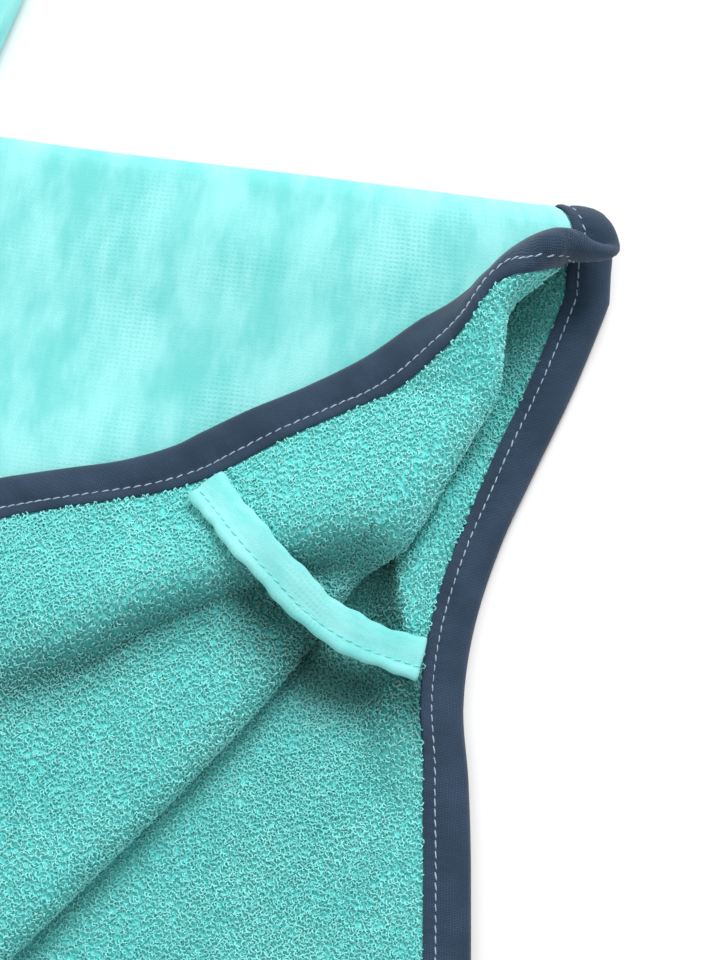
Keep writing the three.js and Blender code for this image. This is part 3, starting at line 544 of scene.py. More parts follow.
    def hollow(self, x: Array, t: Array) -> Array:
        """Painted shade in the crease, in the pocket, beside the strap and under the shoulder tip.

        Args:
            x: Across the cut.
            t: Along the cut.

        Returns:
            Shares of the darkest, from none to one.
        """
        p = self.mid(x, t)
        low = -p[:, 1]
        along, side = self.valley.locate(p[:, 0], p[:, 1])
        crease = CREASE_SHADE * bell(-side - 1.5, 6.0)
        crease = crease * smooth(along, 4, 26) * (1 - smooth(along, 110, 230))
        a, d = self.strap.locate(p[:, 0], p[:, 1])
        shadow = bell(d + 11, 7.5) * smooth(a, 14, 34)
        left = POCKET_X + POCKET_SLOPE * (-POCKET_LOW - p[:, 1]) - p[:, 0]
        pocket = smooth(left, -0.8, 1.2) * bell(left, 9)
        pocket = pocket * smooth(low, 84, 97) * (1 - smooth(low, 122, 136))
        under = TIP_SHADE * (1 - smooth(low, 12, 84)) + pocket
        return np.maximum(np.where(t > 0, crease, under), shadow)

    def frames(self, x: Array, t: Array, soft: bool = True) -> Frames:
        """Places and unit normals of the cloth's middle, on the looped side.

        Args:
            x: Across the cut.
            t: Along the cut.
            soft: Whether the cloth's small unevenness is added.

        Returns:
            The frames.
        """
        h = 0.6
        m, left, right = self.mid(x, t), self.mid(x - h, t), self.mid(x + h, t)
        down, up = self.mid(x, t - h), self.mid(x, t + h)
        normal = np.cross(right - left, up - down)
        normal /= np.linalg.norm(normal, axis=1, keepdims=True)
        if soft:
            m = m + normal * uneven(x, t)[:, None]
        return Frames(m, normal)


def uneven(x: Array, t: Array) -> Array:
    """Small soft unevenness of the cloth, in millimetres, none where it lies on the floor.

    Args:
        x: Across the cut.
        t: Along the cut.

    Returns:
        How far the cloth is moved along its normal.
    """
    waves = (
        (0.051, 0.033, 0.4, 0.34), (-0.029, 0.062, 1.9, 0.30), (0.083, -0.047, 3.1, 0.20),
        (0.021, 0.105, 4.4, 0.16), (-0.117, -0.035, 5.2, 0.12),
    )
    total = sum(size * np.sin(fx * x + ft * t + turn) for fx, ft, turn, size in waves)
    return total * smooth(t, 8, 30)


class Hood:
    """The hood's lay, as a right half that the left one mirrors."""

    def __init__(self, lay: Lay) -> None:
        """Makes the guiding curves.

        Args:
            lay: The garment's lay, which the neck seam meets.
        """
        self.lay = lay
        self.outline = Path(HOOD_OUTLINE, 3)
        self.face = Path(HOOD_FACE, 3)

    @staticmethod
    def neck_y(x: Array, depth: float) -> Array:
        """Place of the neck seam along the garment."""
        share = np.clip(x / (NECK_HALF_WIDTH - NECK_GAP), 0, 1)
        return NECK_FOLD_HALF - (depth - NECK_GAP) * np.sqrt(1 - share * share)

    def mid(self, s: Array, v: Array) -> Array:
        """Places of the hood cloth's middle.

        Args:
            s: From 0 at the neck to 1 at the crown.
            v: From 0 at the centre seam, 1 to 2 round the fold, to 3 at the face edge.

        Returns:
            Points, one row each.
        """
        rim = self.outline.at(s * self.outline.length)
        run = self.outline.tangent(s * self.outline.length)
        first, end = self.outline.at(0.0), self.face.at(0.0)
        at_neck = (1 - s) ** 6
        nape = self.neck_y(np.zeros(1), NECK_BACK_DEPTH)[0]
        b = np.clip(v, 0, 1)
        bx = blend(SEAM_HALF_GAP, rim[:, 0], b)
        by = blend(blend(nape, 190, s), rim[:, 1], b)
        curve = blend(self.neck_y(first[0] * b, NECK_BACK_DEPTH), first[1], smooth(b, 0.7, 1))
        by = by + (curve - blend(nape, first[1], b)) * at_neck
        back = np.stack([bx, by, np.full_like(bx, BACK_MID)], axis=-1)
        turn = math.pi * np.clip(v - 1, 0, 1)
        out = HOOD_FOLD * np.sin(turn)
        fold = np.stack(
            [
                rim[:, 0] + np.maximum(0, run[:, 1]) * out,
                rim[:, 1] - run[:, 0] * out,
                BACK_MID + HOOD_FOLD * (1 - np.cos(turn)),
            ],
            axis=-1,
        )
        w = np.clip(v - 2, 0, 1)
        face = self.face.at(s * self.face.length)
        fx = blend(rim[:, 0], face[:, 0], w)
        chord = blend(first[0], end[0], w)
        curve = blend(first[1], self.neck_y(chord, NECK_FRONT_DEPTH), smooth(w, 0, 0.2))
        fy = blend(rim[:, 1], face[:, 1], w) + (curve - blend(first[1], end[1], w)) * at_neck
        free = blend(11.5, 10.2, smooth(w, 0, 1))
        seam = self.lay.front_height(fx, np.minimum(fy, 0), np.full_like(fx, HALF_LENGTH / 2))
        front = np.stack([fx, fy, blend(free, seam, (1 - s) ** 4)], axis=-1)
        return np.where((v < 1)[:, None], back, np.where((v < 2)[:, None], fold, front))

    def face_width(self, s: Array) -> Array:
        """Width of the upper layer square to the face edge, from the fold.

        Args:
            s: From 0 at the neck to 1 at the crown.

        Returns:
            The widths.
        """
        span = self.outline.at(s * self.outline.length) - self.face.at(s * self.face.length)
        run = self.face.tangent(s * self.face.length)
        return np.abs(span[:, 0] * run[:, 1] - span[:, 1] * run[:, 0])

    def frames(self, s: Array, v: Array) -> Frames:
        """Places and unit normals of the hood cloth's middle, on the looped side.

        Args:
            s: From 0 at the neck to 1 at the crown.
            v: From 0 at the centre seam to 3 at the face edge.

        Returns:
            The frames.
        """
        s, v = (np.asarray(k, float).ravel() for k in np.broadcast_arrays(s, v))
        h = 0.004
        ns, nv = np.clip(s, 0.012, 0.988), np.clip(v, 0.02, 2.98)
        up = self.mid(ns + h, nv) - self.mid(ns - h, nv)
        over = self.mid(ns, nv + h) - self.mid(ns, nv - h)
        normal = np.cross(over, up)
        normal /= np.linalg.norm(normal, axis=1, keepdims=True)
        return Frames(self.mid(s, v), normal)


@dataclass
class Shape:
    """Vertices and faces that make one mesh, with a slot and plane coordinates for each face corner."""

    points: list[Array] = field(default_factory=list)
    faces: list[tuple[int, ...]] = field(default_factory=list)
    slots: list[int] = field(default_factory=list)
    plane: list[Array] = field(default_factory=list)
    count: int = 0

    def add(self, points: Array, plane: Array | None = None) -> int:
        """Adds vertices.

        Args:
            points: The vertices.
            plane: Their places on the cut, where they have them.

        Returns:
            The first one's number.
        """
        start = self.count
        self.points.append(points)
        self.plane.append(np.zeros((len(points), 2)) if plane is None else plane)
        self.count += len(points)
        return start

    def grid(self, start: int, rows: int, cols: int, closed: tuple[bool, bool], slot: int = 0) -> None:
        """Joins a grid of vertices.

        Args:
            start: First vertex.
            rows: Rows of vertices.
            cols: Vertices a row.
            closed: Whether the rows, and the columns, close on themselves.
            slot: Material slot.
        """
        for i in range(rows if closed[0] else rows - 1):
            for k in range(cols if closed[1] else cols - 1):
                j, m = (i + 1) % rows, (k + 1) % cols
                self.faces.append(
                    (start + i * cols + k, start + i * cols + m, start + j * cols + m, start + j * cols + k)
                )
                self.slots.append(slot)

    def build(self, name: str, materials: Sequence[bpy.types.Material]) -> bpy.types.Object:
        """Makes the object.

        Args:
            name: The object's name.
            materials: Its material slots in order.

        Returns:
            The object, at the origin, with smooth faces and a UV map in metres of the cut.
        """
        points = (np.vstack(self.points) + SHIFT) * MM
        mesh = bpy.data.meshes.new(name)
        mesh.from_pydata(points.tolist(), [], self.faces)
        for material in materials:
            mesh.materials.append(material)
        mesh.polygons.foreach_set("material_index", self.slots)
        mesh.polygons.foreach_set("use_smooth", [True] * len(self.faces))
        loops = np.empty(len(mesh.loops), int)
        mesh.loops.foreach_get("vertex_index", loops)
        uv = mesh.uv_layers.new(name="cut")
        uv.data.foreach_set("uv", (np.vstack(self.plane) * MM)[loops].ravel())
        mesh.validate()
        obj = bpy.data.objects.new(name, mesh)
        bpy.context.scene.collection.objects.link(obj)
        return obj


class Socket:
    """A node's output that takes part in sums."""

    def __init__(self, tree: "Shader", out: bpy.types.NodeSocket) -> None:
        """Wraps an output."""
        self.tree = tree
        self.out = out

    def math(
        self, operation: str, *others: "Socket | float", first: "Socket | float | None" = None
    ) -> "Socket":
        """A Math node of this output.

        Args:
            operation: The Math node's operation.
            others: The other operands.
            first: Operand that comes before this output.

        Returns:
            The node's output.
        """
        operands = [self, *others] if first is None else [first, self]
        return self.tree.node("Math", {"operation": operation}, dict(enumerate(operands)))

    def __add__(self, other: "Socket | float") -> "Socket":
        """Sum."""
        return self.math("ADD", other)

    def __radd__(self, other: float) -> "Socket":
        """Sum."""
        return self.math("ADD", other)

    def __sub__(self, other: "Socket | float") -> "Socket":
        """Difference."""
        return self.math("SUBTRACT", other)

    def __rsub__(self, other: float) -> "Socket":
        """Difference from a number."""
        return self.math("SUBTRACT", first=other)

    def __mul__(self, other: "Socket | float") -> "Socket":
        """Product."""
        return self.math("MULTIPLY", other)

    def __rmul__(self, other: float) -> "Socket":
        """Product."""
        return self.math("MULTIPLY", other)

    def __pow__(self, other: float) -> "Socket":
        """Power."""
        return self.math("POWER", other)

    def sin(self) -> "Socket":
        """Sine."""
        return self.math("SINE")

    def eased(self, low: float, high: float) -> "Socket":
        """Smooth step from 0 at low to 1 at high."""
        values = {"Value": self, "From Min": low, "From Max": high}
        return self.tree.node("MapRange", {"interpolation_type": "SMOOTHSTEP"}, values)


class Shader:
    """A material's node tree."""

    def __init__(self, name: str) -> None:
        """Starts an empty material."""
        self.material = bpy.data.materials.new(name)
        self.material.use_nodes = True
        self.nodes = self.material.node_tree.nodes
        self.links = self.material.node_tree.links
        self.nodes.clear()

    def node(
        self, kind: str, settings: dict[str, Any], values: dict[Any, Any], out: int | str = 0
    ) -> Socket:
        """Adds a node.

        Args:
            kind: Its type without the ShaderNode prefix.
            settings: Its settings, set first.
            values: Values or links of its inputs, by name or number.
            out: The output wanted.

        Returns:
            That output.
        """
        node = self.nodes.new("ShaderNode" + kind)
        for key, value in settings.items():
            setattr(node, key, value)
        for key, value in values.items():
            target = node.inputs[key]
            if isinstance(value, Socket):
                self.links.new(value.out, target)
            else:
                target.default_value = value
        return Socket(self, node.outputs[out])

    def mix(self, share: Socket | float, a: Any, b: Any) -> Socket:
        """Mixes two colours."""
        return self.node("Mix", {"data_type": "RGBA"}, {0: share, 6: a, 7: b}, 2)

    def noise(self, where: Socket, scale: float, detail: float = 2.0, rough: float = 0.5) -> Socket:
        """Noise from 0 to 1."""
        values = {"Vector": where, "Scale": scale, "Detail": detail, "Roughness": rough}
        return self.node("TexNoise", {}, values)

    def placed(self, where: Socket, scale: tuple[float, float, float], turn: float = 0.0) -> Socket:
        """Coordinates stretched and turned about Z."""
        return self.node("Mapping", {}, {"Vector": where, "Scale": scale, "Rotation": (0, 0, turn)})

    def bump(self, height: Socket, distance: float, strength: float) -> Socket:
        """Bumps of a height, the tallest of them given in metres."""
        return self.node("Bump", {}, {"Height": height, "Distance": distance, "Strength": strength})

    def hollow(self) -> Socket:
        """Share of painted shade, as marked on the mesh."""
        return self.node("Attribute", {"attribute_name": "hollow"}, {}, "Fac")

    def finish(self, values: dict[str, Any]) -> bpy.types.Material:
        """Adds the surface shader and the output.

        Args:
            values: Values or links of the surface shader's inputs.

        Returns:
            The material.
        """
        surface = self.node("BsdfPrincipled", {}, values)
        out = self.nodes.new("ShaderNodeOutputMaterial")
        self.links.new(surface.out, out.inputs["Surface"])
        return self.material


def colour(red: float, green: float, blue: float) -> Colour:
    """A picture colour of 0 to 255 as the shader's linear colour.

    Args:
        red: Its red.
        green: Its green.
        blue: Its blue.

    Returns:
        The linear colour, opaque.
    """

    def linear(value: float) -> float:
        """One channel, linear."""
        v = value / 255
        return v / 12.92 if v <= 0.04045 else ((v + 0.055) / 1.055) ** 2.4

    return linear(red), linear(green), linear(blue), 1.0


SIDE_LEG = 2 * (HALF_LENGTH - HEM_CORNER)
HEM_LEG = 2 * (HALF_WIDTH - HEM_CORNER)
CORNER_LEG = math.pi / 2 * HEM_CORNER
PERIMETER = 2 * (SIDE_LEG + HEM_LEG) + 4 * CORNER_LEG

# Outline of the cut's part that the view shows closely: across, and along from the shoulder fold
CLOSE_FRONT = (104.0, 300.0, 10.0, 335.0)
CLOSE_BACK = (128.0, 300.0, -262.0, -10.0)
CLOSE_BACK_STEP = 3.0

# Distance of the rows in an even pattern of triangles, as a share of the step along them
ROW_SHARE = 0.87

# Insets of the cut's rows along its outer edge, the inset from which it is filled, rows in a fold
EDGE_ROWS = (3.5, 7.5, 11.3, 13.6)
FILL_INSET = 15.5
FOLD_ROWS = 13


def cloth_half(inset: Array) -> Array:
    """Half the cloth's thickness, which is less inside a binding."""
    return blend(BOUND_HALF, CLOTH / 2, smooth(inset, BINDING_WIDTH - 1, BINDING_WIDTH + 1.5))


def cut_edge(length: Array) -> tuple[Array, Array]:
    """The body's cut edge.

    Args:
        length: Lengths along it from the lower end of the back's right side.

    Returns:
        Points x, t of the cut and the ways inwards from them.
    """
    rest = np.asarray(length, float) % PERIMETER
    points, inward = np.zeros((len(rest), 2)), np.zeros((len(rest), 2))
    legs = (
        (SIDE_LEG, HALF_WIDTH, -SIDE_LEG / 2),
        (HEM_LEG, HEM_LEG / 2, HALF_LENGTH),
        (SIDE_LEG, -HALF_WIDTH, SIDE_LEG / 2),
        (HEM_LEG, -HEM_LEG / 2, -HALF_LENGTH),
    )
    start = 0.0
    for index, (size, x, t) in enumerate(legs):
        heading = math.pi / 2 * (index + 1)
        go = np.array([math.cos(heading), math.sin(heading)])
        inn = np.array([-go[1], go[0]])
        on = (rest >= start) & (rest <= start + size)
        points[on] = np.array([x, t]) + go * (rest[on] - start)[:, None]
        inward[on] = inn
        start += size
        on = (rest > start) & (rest < start + CORNER_LEG)
        turn = heading - math.pi / 2 + (rest[on] - start) / HEM_CORNER
        out = np.stack([np.cos(turn), np.sin(turn)], axis=-1)
        points[on] = np.array([x, t]) + go * size + inn * HEM_CORNER + out * HEM_CORNER
        inward[on] = -out
        start += CORNER_LEG
    return points, inward


def inside(x: Array, t: Array, zone: tuple[float, float, float, float]) -> Array:
    """Whether points of the cut are in a zone."""
    return (x > zone[0]) & (x < zone[1] + 1) & (t > zone[2]) & (t < zone[3])


def edge_lengths(lay: Lay, close: float, far: float) -> Array:
    """Lengths along the cut edge, closer where the view shows it and where it turns.

    Args:
        lay: The garment's lay.
        close: Step in the close part.
        far: Step elsewhere.

    Returns:
        The lengths.
    """
    fine = np.arange(0, PERIMETER, 0.5)
    points = cut_edge(fine)[0]
    x, t = points[:, 0], points[:, 1]
    step = np.full_like(x, far)
    on_front = t > 0
    gap = np.full_like(x, 1e3)
    gap[on_front] = np.abs(lay.turn.locate(x[on_front], 8 - t[on_front])[1])
    step[gap < 26] = 2.2
    step[np.abs(t) < 24] = 1.6
    step[(x > 0) & (t > CLOSE_BACK[2]) & (t < CLOSE_FRONT[3])] = close
    sums = np.concatenate([[0], np.cumsum(0.5 / step)])
    count = int(sums[-1])
    return np.interp(np.arange(count) * sums[-1] / count, sums, np.append(fine, PERIMETER))


class Side(Enum):
    """Sides of the cloth."""

    LOOPED = 1
    SMOOTH = -1


@dataclass
class Piece:
    """A finished object and what it stands for."""

    obj: bpy.types.Object
    slot: str
    nodes: tuple[str, ...] = ()

    def declare(self) -> None:
        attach(self.obj, "root")
        if self.nodes:
            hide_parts(*self.nodes)
        LOG.info("%s, %d faces", self.obj.name, len(self.obj.data.polygons))


def mark(mesh: bpy.types.Mesh, values: Array) -> None:
    """Stores each vertex's share of painted shade, for the materials."""
    mesh.attributes.new("hollow", "FLOAT", "POINT").data.foreach_set("value", values.astype(np.float32))


@dataclass
class BodyCloth:
    """Front and back of the poncho, one sheet with a hole for the neck."""

    lay: Lay
    looped: bpy.types.Material
    smooth: bpy.types.Material
    close: float = 2.4
    far: float = 11.0

    def build(self) -> Piece:
        """Makes the sheet.

        Returns:
            The piece.
        """
        flat, ring, neck = self.flat_points()
        faces = [tuple(f) for f in self.triangles(flat, ring, neck)]
        x, t = flat[:, 0], flat[:, 1]
        inset = self.lay.edge_distance(x, t)
        half = cloth_half(inset)
        frames = self.lay.frames(x, t)
        shape = Shape()
        over = shape.add(frames.moved(half), flat)
        under = shape.add(frames.moved(-half), flat)
        for a, b, c in faces:
            shape.faces += [(over + a, over + b, over + c), (under + a, under + c, under + b)]
            shape.slots += [0, 1]
        for loop in (ring, neck):
            for a, b in zip(loop, loop[1:] + loop[:1]):
                shape.faces.append((under + a, under + b, over + b, over + a))
                shape.slots.append(1)
        obj = shape.build("body_cloth", (self.looped, self.smooth))
        # Painted shade in the crease, the pocket, beside the strap and under the shoulder tip, on both
        # faces of the cloth
        mark(obj.data, np.tile(self.lay.hollow(x, t), 2))
        return Piece(obj, "terry_velour", ("body",))

    def flat_points(self) -> tuple[Array, list[int], list[int]]:
        """Points of the cut.

        Returns:
            The points, the outer edge's in order and the neck hole's in order against it.
        """
        lengths = edge_lengths(self.lay, self.close, self.far)
        edge, inward = cut_edge(lengths)
        rows = [edge]
        for inset in EDGE_ROWS:
            rows.append(edge + inward * inset)
        turn = np.linspace(0, 2 * math.pi, 90, endpoint=False)
        depth = np.where(turn < math.pi, NECK_FRONT_DEPTH, NECK_BACK_DEPTH)
        neck = np.stack([NECK_HALF_WIDTH * np.cos(turn), -depth * np.sin(-turn)], axis=-1)
        fill = self.fill()
        keep = self.lay.edge_distance(fill[:, 0], fill[:, 1]) > FILL_INSET
        deep = np.where(fill[:, 1] > 0, NECK_FRONT_DEPTH, NECK_BACK_DEPTH)
        keep &= np.hypot(fill[:, 0] / (NECK_HALF_WIDTH + 3), fill[:, 1] / (deep + 3)) > 1
        count = len(edge)
        points = np.vstack([*rows, neck, fill[keep]])
        start = count * len(rows)
        return points, list(range(count)), list(range(start, start + len(neck)))[::-1]

    def fill(self) -> Array:
        """Points inside the cut: rows in the folds, close ones in view and wide ones elsewhere.

        Returns:
            The points.
        """
        rng = np.random.default_rng(4)
        rows = []
        for share in np.linspace(0, 1, FOLD_ROWS):
            x = np.linspace(-284, 284, 120)
            half = math.pi * Lay.fold_radius(x) / 2
            rows.append(np.stack([x, half * (2 * share - 1)], axis=-1))
        a = np.arange(6, self.lay.turn.length, 3.2)
        p, tan = self.lay.turn.at(a), self.lay.turn.tangent(a)
        half = math.pi * table_at(FOLD_RADIUS, 1, p[:, 0]) / 2
        width = math.pi * self.lay.turn_take(a)
        for share in np.linspace(0, 1, FOLD_ROWS):
            d = width * share
            rows.append(np.stack([p[:, 0] - tan[:, 1] * d, half - (p[:, 1] + tan[:, 0] * d)], axis=-1))
        whole = (-HALF_WIDTH, HALF_WIDTH, -HALF_LENGTH, HALF_LENGTH)
        zones = ((whole, self.far), (CLOSE_FRONT, self.close), (CLOSE_BACK, CLOSE_BACK_STEP))
        for zone, step in zones:
            across = np.arange(zone[0], zone[1], step)
            x, t = np.meshgrid(across, np.arange(zone[2], zone[3], step * ROW_SHARE))
            x = x + np.where(np.arange(len(x)) % 2, step / 2, 0)[:, None]
            grid = np.stack([x.ravel(), t.ravel()], axis=-1)
            grid += rng.uniform(-0.12, 0.12, grid.shape) * step
            if step == self.far:
                for close in (CLOSE_FRONT, CLOSE_BACK):
                    grid = grid[~inside(grid[:, 0], grid[:, 1], close)]
            grid = grid[self.clear_of_folds(grid, step * 0.7)]
            rows.append(grid)
        return np.vstack(rows)

    def clear_of_folds(self, grid: Array, gap: float) -> Array:
        """Which points lie off the rows of the two folds.

        Args:
            grid: The points.
            gap: How far off.

        Returns:
            A flag for each.
        """
        x, t = grid[:, 0], grid[:, 1]
        half = math.pi * Lay.fold_radius(x) / 2
        clear = np.abs(t) > half + gap
        a, d = self.lay.turn.locate(x, half - t)
        width = math.pi * self.lay.turn_take(a)
        return clear & ((t < 0) | (d < -gap) | (d > width + gap))

    @staticmethod
    def triangles(flat: Array, ring: list[int], neck: list[int]) -> list[Sequence[int]]:
        """Triangles of the cut, all turned the same way.

        Args:
            flat: Points of the cut.
            ring: The outer edge's points in order.
            neck: The neck hole's points in order.

        Returns:
            The triangles.
        """
        edges = [(a, b) for loop in (ring, neck) for a, b in zip(loop, loop[1:] + loop[:1])]
        found = delaunay_2d_cdt([Vector(p) for p in flat.tolist()], edges, [], 0, 1e-5)
        faces = np.array(found[2])
        back = np.array([source[0] for source in found[3]])
        faces = back[faces]
        middle = flat[faces].mean(axis=1)
        deep = np.where(middle[:, 1] > 0, NECK_FRONT_DEPTH, NECK_BACK_DEPTH)
        keep = np.hypot(middle[:, 0] / NECK_HALF_WIDTH, middle[:, 1] / deep) > 1
        ax = np.abs(middle[:, 0]) - HALF_WIDTH + HEM_CORNER
        at = np.abs(middle[:, 1]) - HALF_LENGTH + HEM_CORNER
        keep &= (np.minimum(ax, at) < 0) | (np.hypot(ax, at) < HEM_CORNER)
        faces = faces[keep]
        p = flat[faces]
        area = np.cross(p[:, 1] - p[:, 0], p[:, 2] - p[:, 0])
        faces[area < 0] = faces[area < 0][:, ::-1]
        return faces[np.abs(area) > 1e-6].tolist()


# Section of a binding strip: inset from the cut edge, offset from the cloth's middle
BINDING_SECTION: Rows = (
    (12.0, 1.45), (12.25, 1.75), (11.9, 2.1), (11.0, 2.3), (9.9, 2.25), (8.7, 1.82), (7.5, 2.22),
    (5.6, 2.4), (3.4, 2.35), (1.2, 2.15), (-0.3, 1.65), (-1.15, 0.85), (-1.4, 0),
    (-1.15, -0.85), (-0.3, -1.65), (1.2, -2.15), (3.4, -2.35), (5.6, -2.4), (7.5, -2.22),
    (8.7, -1.82), (9.9, -2.25), (11.0, -2.3), (11.9, -2.1), (12.25, -1.75), (12.0, -1.45),
    (11.6, -1.15), (2.0, -1.05), (0.6, 0), (2.0, 1.05), (11.6, 1.15),
)
STITCH_INSET = 8.7
STITCH_PITCH = 2.9
STITCH_RISE = 1.86
STRAP_STITCH = -2.3
THREAD_RADIUS = 0.25


@dataclass
class Binding:
    """A strip folded round an edge and sewn through."""

    name: str
    place: Callable[[Array, Array], Frames]
    lengths: Array
    closed: bool
    material: bpy.types.Material
    nodes: tuple[str, ...]

    def build(self) -> Piece:
        """Makes the strip.

        Returns:
            The piece.
        """
        section = np.array(BINDING_SECTION, float)
        rows, cols = len(self.lengths), len(section)
        length = np.repeat(self.lengths, cols)
        inset = np.tile(section[:, 0], rows)
        offset = np.tile(section[:, 1], rows)
        frames = self.place(length, inset)
        puff = self.pucker(length, inset)
        outer = np.abs(offset) > 1.2
        shape = Shape()
        girth = np.cumsum(np.concatenate([[0], np.hypot(*np.diff(section, axis=0).T)]))
        plane = np.stack([np.tile(girth, rows), length], axis=-1)
        start = shape.add(frames.moved(offset + np.where(outer, np.sign(offset) * puff, 0)), plane)
        shape.grid(start, rows, cols, (self.closed, True))
        if not self.closed:
            shape.faces.append(tuple(start + k for k in range(cols))[::-1])
            shape.faces.append(tuple(start + (rows - 1) * cols + k for k in range(cols)))
            shape.slots += [0, 0]
        return Piece(shape.build(self.name, (self.material,)), "binding", self.nodes)

    @staticmethod
    def pucker(length: Array, inset: Array) -> Array:
        """Swelling of the strip between stitches and in soft tucks.

        Args:
            length: Lengths along the edge.
            inset: Insets from it.

        Returns:
            The swelling, outwards.
        """
        beat = np.cos(2 * math.pi * length / STITCH_PITCH)
        near = np.exp(-(((inset - STITCH_INSET) / 2.6) ** 2))
        tuck = np.sin(length * 0.61 + inset * 0.5 + 1.6 * np.sin(length * 0.13))
        tuck = tuck + 0.6 * np.sin(length * 0.27 - inset * 0.35 + 2.0 * np.sin(length * 0.071 + 2))
        return -0.16 * beat * near + 0.09 * tuck


@dataclass
class Strap:
    """A narrow strip of doubled velour, stitched along one side."""

    name: str
    path: Path
    side: Callable[[Array], Array]
    material: bpy.types.Material
    nodes: tuple[str, ...]
    width: float = 12.0
    thick: float = 3.4

    def frames(self, a: Array) -> tuple[Array, Array, Array]:
        """Middle, way across and way up at lengths along the strap.

        Args:
            a: The lengths.

        Returns:
            The three, one row each.
        """
        t = self.path.tangent(a)
        side = self.side(t)
        side /= np.linalg.norm(side, axis=1, keepdims=True)
        return self.path.at(a), side, np.cross(side, t)

    def profile(self) -> Array:
        """Section: across, and up, with a groove along the stitches.

        Returns:
            Points across and up, in order.
        """
        turn = np.linspace(0, 2 * math.pi, 36, endpoint=False) + math.pi
        w = np.sign(np.cos(turn)) * np.abs(np.cos(turn)) ** 0.55 * self.width / 2
        h = np.sign(np.sin(turn)) * np.abs(np.sin(turn)) ** 0.6 * self.thick / 2
        groove = 1 - 0.42 * bell(w - STRAP_STITCH, 0.8)
        return np.stack([w, h * groove], axis=-1)[::-1]

    def build(self) -> Piece:
        """Makes the strip.

        Returns:
            The piece.
        """
        profile = self.profile()
        a = np.linspace(0, self.path.length, int(self.path.length / 0.9))
        p, side, up = self.frames(a)
        rows, cols = len(a), len(profile)
        wave = 1 + 0.05 * np.sin(a * 0.31 + 1) + 0.03 * np.sin(a * 0.83)
        points = (
            p[:, None]
            + side[:, None] * profile[None, :, :1] * wave[:, None, None]
            + up[:, None] * profile[None, :, 1:]
        )
        girth = np.cumsum(np.hypot(*np.diff(profile, axis=0, prepend=profile[:1]).T))
        plane = np.stack([np.tile(girth, rows), np.repeat(a, cols)], axis=-1)
        shape = Shape()
        start = shape.add(points.reshape(-1, 3), plane)
        shape.grid(start, rows, cols, (False, True))
        shape.faces.append(tuple(start + k for k in range(cols))[::-1])
        shape.faces.append(tuple(start + (rows - 1) * cols + k for k in range(cols)))
        shape.slots += [0, 0]
        return Piece(shape.build(self.name, (self.material,)), "strap", self.nodes)


@dataclass
class HoodHalf:
    """One half of the hood, seamed to the other along the crown and to the neck."""

    hood: Hood
    mirror: bool
    looped: bpy.types.Material
    smooth: bpy.types.Material

    def build(self) -> Piece:
        """Makes the sheet.

        Returns:
            The piece.
        """
        s = np.linspace(0, 1, 56)
        v = np.concatenate([np.linspace(0, 1, 22), np.linspace(1, 2, 11)[1:], np.linspace(2, 3, 22)[1:]])
        rows, cols = len(s), len(v)
        ss, vv = np.repeat(s, cols), np.tile(v, rows)
        frames = self.hood.frames(ss, vv)
        inset = (3 - vv) * self.hood.face_width(ss)
        half = cloth_half(inset)
        plane = np.stack([vv * 60, ss * 270], axis=-1)
        flip = np.array([-1.0 if self.mirror else 1.0, 1, 1])
        shape = Shape()
        over = shape.add(frames.moved(half) * flip, plane)
        under = shape.add(frames.moved(-half) * flip, plane)
        shape.grid(over, rows, cols, (False, False), 0)
        cut = len(shape.faces)
        shape.grid(under, rows, cols, (False, False), 1)
        shape.faces[cut:] = [f[::-1] for f in shape.faces[cut:]]
        loop = (
            list(range(cols)) + [i * cols + cols - 1 for i in range(1, rows)]
            + [(rows - 1) * cols + k for k in range(cols - 2, -1, -1)]
            + [i * cols for i in range(rows - 2, 0, -1)]
        )
        for a, b in zip(loop, loop[1:] + loop[:1]):
            shape.faces.append((under + a, under + b, over + b, over + a))
            shape.slots.append(1)
        if self.mirror:
            shape.faces = [f[::-1] for f in shape.faces]
        name = "hood_left" if self.mirror else "hood_right"
        return Piece(shape.build(name + "_cloth", (self.looped, self.smooth)), "terry_velour", (name,))


# Width of a tube's two end rings, as a share of its own
TUBE_END = 0.55


def tube(radius: float, spine: Array, sides: int) -> tuple[Array, list[tuple[int, ...]]]:
    """A closed thin tube.

    Args:
        radius: Its radius; the two end rings are narrower.
        spine: Points along it.
        sides: Sides of its section.

    Returns:
        Vertices and faces.
    """
    run = np.gradient(spine, axis=0)
    run /= np.linalg.norm(run, axis=1, keepdims=True)
    across = np.cross(run, [0.0, 0.0, 1.0])
    across /= np.linalg.norm(across, axis=1, keepdims=True)
    up = np.cross(across, run)
    turn = np.linspace(0, 2 * math.pi, sides, endpoint=False)
    size = np.full(len(spine), radius)
    size[[0, -1]] *= TUBE_END
    rings = spine[:, None] + size[:, None, None] * (
        across[:, None] * np.cos(turn)[None, :, None] + up[:, None] * np.sin(turn)[None, :, None]
    )
    count = len(spine)
    faces: list[tuple[int, ...]] = []
    for i in range(count - 1):
        for k in range(sides):
            m = (k + 1) % sides
            faces.append((i * sides + k, (i + 1) * sides + k, (i + 1) * sides + m, i * sides + m))
    faces.append(tuple(range(sides)))
    faces.append(tuple((count - 1) * sides + k for k in range(sides))[::-1])
    return rings.reshape(-1, 3), faces


def seed_object(name: str, points: Array, faces: list[tuple[int, ...]]) -> bpy.types.Object:
    """A small shape for repeating, in metres, kept out of the scene.

    Args:
        name: Name of the object.
        points: Vertices in millimetres.
        faces: The faces.

    Returns:
        The object.
    """
    mesh = bpy.data.meshes.new(name)
    mesh.from_pydata((points * MM).tolist(), [], faces)
    mesh.polygons.foreach_set("use_smooth", [True] * len(faces))
    mesh.validate()
    return bpy.data.objects.new(name, mesh)


